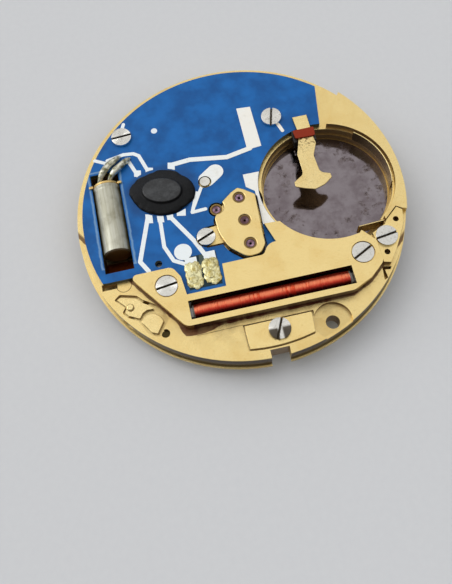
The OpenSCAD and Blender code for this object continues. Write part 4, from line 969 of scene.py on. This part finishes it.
def screw(place, seat, head, turn, length):
    shape = bmesh.new()
    bmesh.ops.create_circle(shape, cap_ends=True, radius=head / 2, segments=56)
    for side in (-1, 1):
        cheek = (0, side * SLOT_WIDTH / 2, 0)
        bmesh.ops.bisect_plane(shape, geom=everything_in(shape), plane_co=cheek, plane_no=(0, 1, 0))
    made = bmesh.ops.extrude_face_region(shape, geom=shape.faces[:])
    bmesh.ops.translate(shape, vec=(0, 0, HEAD_HEIGHT - SLOT_DEPTH), verts=points_of(made))
    cheeks = [f for f in faces_of(made) if abs(f.calc_center_median().y) > SLOT_WIDTH / 2]
    for face in faces_of(made):
        face.material_index = 0 if face in cheeks else 1
    made = bmesh.ops.extrude_face_region(shape, geom=cheeks)
    bmesh.ops.translate(shape, vec=(0, 0, SLOT_DEPTH), verts=points_of(made))
    rim = [e for e in shape.edges if all(v.co.z > HEAD_HEIGHT - 1e-4 for v in e.verts)]
    break_edges(shape, rim, 0.035)
    body = bmesh.new()
    bmesh.ops.create_cone(body, cap_ends=True, segments=24, radius1=SHANK / 2, radius2=SHANK / 2,
                          depth=length)
    bmesh.ops.translate(body, vec=(0, 0, -length / 2), verts=body.verts)
    join(shape, body)
    bmesh.ops.rotate(shape, matrix=Matrix.Rotation(math.radians(turn), 3, "Z"), verts=shape.verts)
    bmesh.ops.translate(shape, vec=(*place, seat), verts=shape.verts)
    return shape


def screws(name, seat, turns, length, head=1.64):
    shape = bmesh.new()
    for place, turn in zip(SCREW_PLACES[name], turns):
        join(shape, screw(place, seat, head, turn, length))
    piece = new_piece(shape, name + "_turned", screw_steel, [name], 30)
    piece.data.materials.append(slot_grease.material)


screws("board_screws", 2.03, [3, 75], 0.9)
screws("cover_screws", 2.25, [7.5, 27], 1.3)
screws("bridge_screw", 2.0, [22], 1.1, 1.44)
screws("contact_screw", 2.1, [8], 1.1)
screws("clamp_screw", 1.7, [66], 0.9)

# %% [markdown]
# ## The crystal's can
# The can is deep drawn: a tube with a closed, rounded end and a flared collar where the
# base is pressed in. A tube of this kind is a turned form, so half of its outline is
# drawn with a few points and spun about the axis.

# %% Turned forms
def turned(outline, steps, axis_from, along):
    """Spins points (distance along the axis, radius) about an axis."""
    shape = bmesh.new()
    points = [shape.verts.new((radius, 0, far)) for far, radius in outline]
    edges = [shape.edges.new(pair) for pair in zip(points, points[1:])]
    bmesh.ops.spin(shape, geom=points + edges, cent=(0, 0, 0), axis=(0, 0, 1), angle=math.tau,
                   steps=steps, use_merge=True, use_duplicate=False)
    bmesh.ops.remove_doubles(shape, verts=shape.verts, dist=TOUCHING)
    way = Vector(along).to_track_quat("Z", "Y").to_matrix()
    bmesh.ops.rotate(shape, matrix=way, verts=shape.verts)
    bmesh.ops.translate(shape, vec=axis_from, verts=shape.verts)
    return shape


can_length, flare = CAN_TO - CAN_FROM, CAN_RADIUS + 0.06
can_outline = [(0, 0), (0, 0.88), (0.02, 0.94), (0.06, 0.99), (0.12, CAN_RADIUS),
               (can_length - 0.5, CAN_RADIUS), (can_length - 0.42, CAN_RADIUS - 0.02),
               (can_length - 0.28, CAN_RADIUS - 0.02), (can_length - 0.2, CAN_RADIUS),
               (can_length - 0.1, CAN_RADIUS + 0.05), (can_length, flare), (can_length, 0)]
can = turned(can_outline, 64, (CAN_X, CAN_FROM, CAN_Z), (0, 1, 0))
new_piece(can, "can_drawn", can_metal, ["crystal_can"], 40)

# %% [markdown]
# ## The can's collar
# The base closes the can and stands out round it as a collar. It is turned in the same
# way, and its two ears, which rest on the board, are small boxes with broken edges.

# %% Collar with its ears
def soft_box(middle, sizes, width):
    """A box whose edges are broken by a bevel of the width given."""
    box = bmesh.new()
    bmesh.ops.create_cube(box, size=1)
    bmesh.ops.scale(box, vec=sizes, verts=box.verts)
    break_edges(box, box.edges[:], width)
    bmesh.ops.translate(box, vec=middle, verts=box.verts)
    return box


base_outline = [(0, 0), (0, CAN_RADIUS + 0.02), (0.03, flare), (0.2, flare), (0.26, CAN_RADIUS),
                (0.27, 0.86), (0.33, 0.8), (0.35, 0.6), (0.35, 0)]
base = turned(base_outline, 64, (CAN_X, CAN_TO, CAN_Z), (0, 1, 0))
for side in (-1, 1):
    join(base, soft_box((CAN_X + side * 1.14, CAN_TO + 0.1, 2.1), (0.34, 0.24, 0.16), 0.05))
new_piece(base, "can_collar", aged_gold, ["crystal_base"], 40)

# %% [markdown]
# ## Forms that follow a path
# A wire has no outline to spin. A ring of points is carried along its path instead,
# turned to face along it and given a new radius at each point. Noise then pushes the
# surface in and out where it has to look poured.

# %% Drawn forms
def drawn_form(path, radii):
    """Carries a ring along the points of a path, with a radius for each."""
    shape = bmesh.new()
    places = [Vector(point) for point in path]
    ring = bmesh.ops.create_circle(shape, cap_ends=True, radius=1, segments=24)["verts"]
    edge = shape.edges[:]
    now = Matrix.Identity(4)
    for i, (place, radius) in enumerate(zip(places, radii)):
        ahead = places[min(i + 1, len(places) - 1)] - places[max(i - 1, 0)]
        turned_ahead = ahead.to_track_quat("Z", "Y").to_matrix().to_4x4()
        after = Matrix.Translation(place) @ turned_ahead @ Matrix.Diagonal((radius, radius, radius, 1))
        if i:
            made = bmesh.ops.extrude_edge_only(shape, edges=edge)
            ring, edge = points_of(made), edges_of(made)
        bmesh.ops.transform(shape, matrix=after @ now.inverted(), verts=ring)
        now = after
    bmesh.ops.contextual_create(shape, geom=edge)
    return shape


def lumpy(shape, amount, scale, seed):
    """Pushes points in and out with smooth noise."""
    shape.normal_update()
    for vert in shape.verts:
        vert.co += vert.normal * noise.noise(vert.co * scale + Vector((seed, 0, 0))) * amount


# %% [markdown]
# ## The leads
# Each lead is a soft wire that leaves the base through a black bead, bends over the board
# and ends in a fat fillet of solder, so its radius grows and shrinks along the path.

# %% Leads and beads
LEAD_PATHS = [
    [(-10.4, 4.02, 1.85), (-10.42, 4.2, 1.95), (-10.3, 4.5, 2.12), (-10.1, 4.8, 2.26),
     (-9.82, 5.1, 2.31), (-9.52, 5.38, 2.3), (-9.2, 5.62, 2.26), (-8.9, 5.85, 2.2),
     (-8.62, 6.05, 2.14), (-8.45, 6.17, 2.09)],
    [(-9.68, 4.02, 1.85), (-9.66, 4.2, 1.95), (-9.5, 4.42, 2.12), (-9.25, 4.65, 2.24),
     (-8.95, 4.88, 2.29), (-8.6, 5.14, 2.28), (-8.25, 5.4, 2.24), (-8.02, 5.58, 2.18),
     (-7.86, 5.72, 2.12), (-7.72, 5.84, 2.08)]]
LEAD_RADII = [0.16, 0.19, 0.24, 0.27, 0.28, 0.28, 0.27, 0.24, 0.18, 0.08]
BEAD_OUTLINE = [(0, 0), (0, 0.36), (0.2, 0.35), (0.4, 0.25), (0.46, 0)]

leads = bmesh.new()
for number, path in enumerate(LEAD_PATHS):
    wire = drawn_form(path, LEAD_RADII)
    lumpy(wire, 0.07, 2.6, number * 5.0)
    join(leads, wire)
new_piece(leads, "soldered_leads", lead_metal, ["crystal_leads"], 60)

beads = bmesh.new()
for side in (-1, 1):
    join(beads, turned(BEAD_OUTLINE, 32, (CAN_X + side * 0.36, 4.03, 1.7), (0, 1, 0.2)))
new_piece(beads, "lead_beads", black_plastic, sharp=50)

# %% [markdown]
# ## The sealed chip
# The chip hides under black resin that was pressed by hand, so its outline is an uneven
# lozenge, its flanks are creased and its top is a raised oval island. A disc is drawn up
# in rings. On the way up each ring turns from the lozenge into the oval, and the flanks
# are pushed in and out with noise that only changes round the drop.

# %% Resin cap
CHIP_MIDDLE, CHIP_TURN = Vector((-5.72, 2.1, 2.0)), -16
CHIP_HALF_LENGTH, CHIP_HALF_WIDTH = 2.6, 2.02
# Each ring's way from the lozenge to the oval, the depth of its creases and its height.
CAP_RINGS = [
    (0, 0, 0.0), (0, 0.02, 0.07), (0.02, 0.05, 0.12), (0.1, 0.08, 0.17), (0.24, 0.1, 0.21),
    (0.4, 0.11, 0.24), (0.56, 0.11, 0.255), (0.72, 0.09, 0.262), (0.84, 0.06, 0.265),
    (0.92, 0.03, 0.275), (0.97, 0.01, 0.32), (1.0, 0, 0.38), (1.03, 0, 0.42),
    (1.08, 0, 0.445), (1.18, 0, 0.46), (1.4, 0, 0.468), (1.7, 0, 0.47)]


def lozenge(bearing):
    """How far the drop's foot reaches, as a share of its half sizes."""
    power = 1.62
    reach = (abs(math.cos(bearing)) ** power + abs(math.sin(bearing)) ** power) ** (-1 / power)
    wander = noise.noise(Vector((math.cos(bearing) * 1.6, math.sin(bearing) * 1.6, 3.3)))
    return min(1.0, 1.04 * reach + 0.09 * wander)


def island(bearing):
    """The oval on top, smaller and flatter than the foot."""
    return 1 / math.hypot(math.cos(bearing) / 0.6, math.sin(bearing) / 0.54)


def pour_cap():
    shape = bmesh.new()
    ring = bmesh.ops.create_circle(shape, cap_ends=True, radius=1, segments=120)["verts"]
    edge = shape.edges[:]
    for i, (way_up, crease, height) in enumerate(CAP_RINGS):
        if i:
            made = bmesh.ops.extrude_edge_only(shape, edges=edge)
            ring, edge = points_of(made), edges_of(made)
        across = min(way_up, 1.0)
        for vert in ring:
            bearing = math.atan2(vert.co.y, vert.co.x)
            reach = lozenge(bearing) * (1 - across) + island(bearing) * across - (way_up - across) * 0.55
            ripple = noise.noise(Vector((math.cos(bearing) * 4.5, math.sin(bearing) * 4.5, 7 + way_up)))
            reach = max(reach + ripple * crease, 0.05)
            vert.co = Vector((math.cos(bearing) * reach, math.sin(bearing) * reach, height))
    bmesh.ops.contextual_create(shape, geom=edge)
    bmesh.ops.scale(shape, vec=(CHIP_HALF_LENGTH, CHIP_HALF_WIDTH, 1), verts=shape.verts)
    bmesh.ops.rotate(shape, matrix=Matrix.Rotation(math.radians(CHIP_TURN), 3, "Z"), verts=shape.verts)
    bmesh.ops.translate(shape, vec=CHIP_MIDDLE, verts=shape.verts)
    print("cap top:", round(max(v.co.z for v in shape.verts), 3))
    return shape


new_piece(pour_cap(), "resin_cap", resin, ["chip_cap"], 40)

# %% [markdown]
# ## The coil's solder joints
# The ends of the coil's wire are soldered to two pads. Six low lumps in two rows cover
# each pad, and three higher ones lie on them, no two alike. A lump starts as a fine ball,
# is pushed about with noise and flattened, and has its lower half cut off on the board.

# %% Solder lumps
PADS = [(-4.62, -5.4), (-3.28, -5.3)]
LOW_LUMP, LOW_SEAT, HIGH_SEAT = (0.4, 0.5, 0.1), 2.03, 2.05
HIGH_LUMPS = [(0.1, 0.45, (0.34, 0.5, 0.14)), (-0.1, -0.35, (0.38, 0.46, 0.15)),
              (0.08, -0.85, (0.32, 0.36, 0.1))]


def lump(place, sizes, seed):
    shape = bmesh.new()
    bmesh.ops.create_icosphere(shape, subdivisions=4, radius=1)
    for vert in shape.verts:
        broad = noise.noise(vert.co * 1.4 + Vector((seed, 0, 0)))
        fine = noise.noise(vert.co * 4 + Vector((seed, 5, 0)))
        vert.co *= 1 + 0.2 * broad + 0.08 * fine
    bmesh.ops.scale(shape, vec=sizes, verts=shape.verts)
    bmesh.ops.bisect_plane(shape, geom=everything_in(shape), plane_co=(0, 0, 0), plane_no=(0, 0, 1),
                           clear_inner=True)
    bmesh.ops.holes_fill(shape, edges=[e for e in shape.edges if e.is_boundary], sides=0)
    bmesh.ops.translate(shape, vec=place, verts=shape.verts)
    return shape


joints = bmesh.new()
for i, (pad_x, pad_y) in enumerate(PADS):
    for aside in (-0.24, 0.24):
        for ahead in (-0.55, 0.0, 0.55):
            seed = i * 9 + aside + ahead * 3
            join(joints, lump((pad_x + aside, pad_y + ahead, LOW_SEAT), LOW_LUMP, seed))
    for j, (aside, ahead, sizes) in enumerate(HIGH_LUMPS, 1):
        join(joints, lump((pad_x + aside, pad_y + ahead, HIGH_SEAT), sizes, i * 9 + j * 2))
new_piece(joints, "solder_lumps", solder, ["solder_joints"], 60)

# %% [markdown]
# ## Round the contact's root
# The negative contact leaves its clip through a block of black plastic, which keeps it
# off the gilt plate. Only two cheeks and a bar of it show, dark against the gold. Each is
# a box, given by its lowest and its highest corner.

# %% Black block
BLOCK_BOXES = [((5.42, 4.0, 1.3), (5.68, 5.02, 2.06)),
               ((7.02, 3.9, 1.3), (7.22, 5.0, 2.06)),
               ((5.42, 4.95, 2.0), (7.2, 5.1, 2.07))]

block = bmesh.new()
for low, high in BLOCK_BOXES:
    middle = [(a + b) / 2 for a, b in zip(low, high)]
    join(block, soft_box(middle, [b - a for a, b in zip(low, high)], 0.02))
new_piece(block, "contact_block", black_plastic, sharp=50)

# %% [markdown]
# ## Numbers on the date ring
# The ring carries the numbers 1 to 31 on the dial side, generic figures in the built-in
# letter shapes. Each number is a text object, made a mesh before it is turned to its
# place, and mirrored so that it reads from below.

# %% Date numbers
NUMBER_SIZE, NUMBER_THICKNESS, TWO_FIGURES_NARROWER = 1.15, 0.006, 0.82
RING_LOW, NUMBER_RADIUS, DAYS = 0.03, 10.55, 31


def number_mesh(value):
    curve = bpy.data.curves.new("number", "FONT")
    curve.body = str(value)
    curve.align_x = "CENTER"
    curve.align_y = "CENTER"
    curve.size = NUMBER_SIZE
    curve.extrude = NUMBER_THICKNESS
    curve.resolution_u = 3
    holder = bpy.data.objects.new("number", curve)
    scene.collection.objects.link(holder)
    bpy.context.view_layer.update()
    drawn = bpy.data.meshes.new_from_object(holder.evaluated_get(bpy.context.evaluated_depsgraph_get()))
    bpy.data.objects.remove(holder)
    bpy.data.curves.remove(curve)
    shape = bmesh.new()
    shape.from_mesh(drawn)
    bpy.data.meshes.remove(drawn)
    return shape


figures = bmesh.new()
flip = Matrix.Rotation(math.pi, 4, "Y")
on_ring = Matrix.Translation((0, -NUMBER_RADIUS, RING_LOW - 0.002))
for day in range(1, DAYS + 1):
    figure = number_mesh(day)
    if day > 9:
        bmesh.ops.scale(figure, vec=(TWO_FIGURES_NARROWER, 1, 1), verts=figure.verts)
    bearing = math.radians(-90 + (day - 1) * 360 / DAYS)
    place = Matrix.Rotation(bearing + math.pi / 2, 4, "Z") @ on_ring
    bmesh.ops.transform(figure, matrix=place @ flip, verts=figure.verts)
    join(figures, figure)
new_piece(figures, "date_numbers", figure_ink, body="ring")

# %% [markdown]
# ## The floor
# The movement lies on a wide sheet of pale paper. One flat face is enough for it: it is
# far wider than the picture, so that no edge shows, and it lies just under the ends of
# the hand posts. It belongs to the stage, not to the movement, and the frame is told so.

# %% Floor
FLOOR_LEVEL, FLOOR_SIZE = -1.52, 400
paper_tones = colour(204, 205, 207), colour(199, 200, 203)
paper = flecked("paper", {}, 2.0, 4.0, paper_tones, 0.85, 0.1)

sheet = bmesh.new()
bmesh.ops.create_grid(sheet, x_segments=1, y_segments=1, size=FLOOR_SIZE)
bmesh.ops.translate(sheet, vec=(0, 0, FLOOR_LEVEL), verts=sheet.verts)
bmesh.ops.scale(sheet, vec=(MM, MM, MM), verts=sheet.verts)
floor_mesh = bpy.data.meshes.new("floor")
sheet.to_mesh(floor_mesh)
sheet.free()
floor_mesh.materials.append(paper.material)
floor = bpy.data.objects.new("floor", floor_mesh)
scene.collection.objects.link(floor)
floor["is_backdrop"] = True
print("floor at", FLOOR_LEVEL, "mm")

# %% [markdown]
# ## The lamps
# A warm key lamp stands behind the movement on the left, and a cooler fill in front of it
# on the right. Both are broad discs far away, so that the shadows are soft. Neither is
# mirrored, because a disc in the polished gold would show as a white spot.

# %% Lamps
LAMP_SIZE = 300


def lamp(name, place, power, tint):
    data = bpy.data.lights.new(name, "AREA")
    data.shape = "DISK"
    data.size = LAMP_SIZE * MM
    data.energy = power
    data.color = tint
    light = bpy.data.objects.new(name, data)
    scene.collection.objects.link(light)
    light.location = Vector(place) * MM
    light.rotation_mode = "QUATERNION"
    light.rotation_quaternion = (-Vector(place)).to_track_quat("-Z", "Y")
    light.visible_glossy = False


lamp("key", (-130, 120, 380), 0.43, (1, 0.98, 0.95))
lamp("fill", (230, -170, 300), 0.36, (0.97, 0.99, 1))
print("lamps:", len(bpy.data.lights))

# %% [markdown]
# ## The room
# Metal shows its surroundings, so the room matters as much as the lamps. The gilt faces
# mirror a broad bright patch overhead, a window at the left and a small softbox above it
# give the rims their shine, and the side of the photographer is darker. Lamps and room
# together light a flat surface at about its own colour.

# %% Room
world = bpy.data.worlds.new("room")
scene.world = world
world.use_nodes = True
room = Recipe(world.node_tree)
way = room.node("ShaderNodeTexCoord", {}, {})["Generated"]


def lobe(towards, wide, narrow):
    """A soft patch of light in one direction, with its half angles in degrees."""
    aim = tuple(Vector(towards).normalized())
    along = room.node("ShaderNodeVectorMath", {"operation": "DOT_PRODUCT"}, [way, aim])["Value"]
    return along.step(math.cos(math.radians(wide)), math.cos(math.radians(narrow)))


overhead = lobe((0.0, 0.36, 0.93), 52, 22)
window = lobe((-0.9, 0.25, 0.3), 50, 20)
softbox = lobe((-0.7, 0.35, 0.62), 20, 13)
photographer = lobe((0.1, -1, 0.15), 70, 30)
brightness = 0.34 + overhead * 0.55 + window * 0.6 + softbox * 1.6 - photographer * 0.1
tint = room.mix(overhead.lower(1.0), (0.97, 0.985, 1.0, 1), (1.0, 0.995, 0.985, 1))
backdrop = world.node_tree.nodes["Background"]
world.node_tree.links.new(brightness.socket, backdrop.inputs["Strength"])
world.node_tree.links.new(tint.socket, backdrop.inputs["Color"])
scene.view_settings.view_transform = "Standard"
print("room nodes:", len(world.node_tree.nodes))

# %% [markdown]
# ## Last look
# The box of the dressed model is set next to the box of the solids, and the largest growth
# is printed, so that it is easy to see how little has grown.

# %% Sizes
boxes = {"cad": [list(c) for c in cad_box], "visual": [list(c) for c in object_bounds()]}
(cad_low, cad_high), (seen_low, seen_high) = boxes["cad"], boxes["visual"]
growth = [a - b for a, b in zip(cad_low, seen_low)] + [b - a for a, b in zip(cad_high, seen_high)]
print("largest growth, mm:", round(max(growth) / MM, 3))
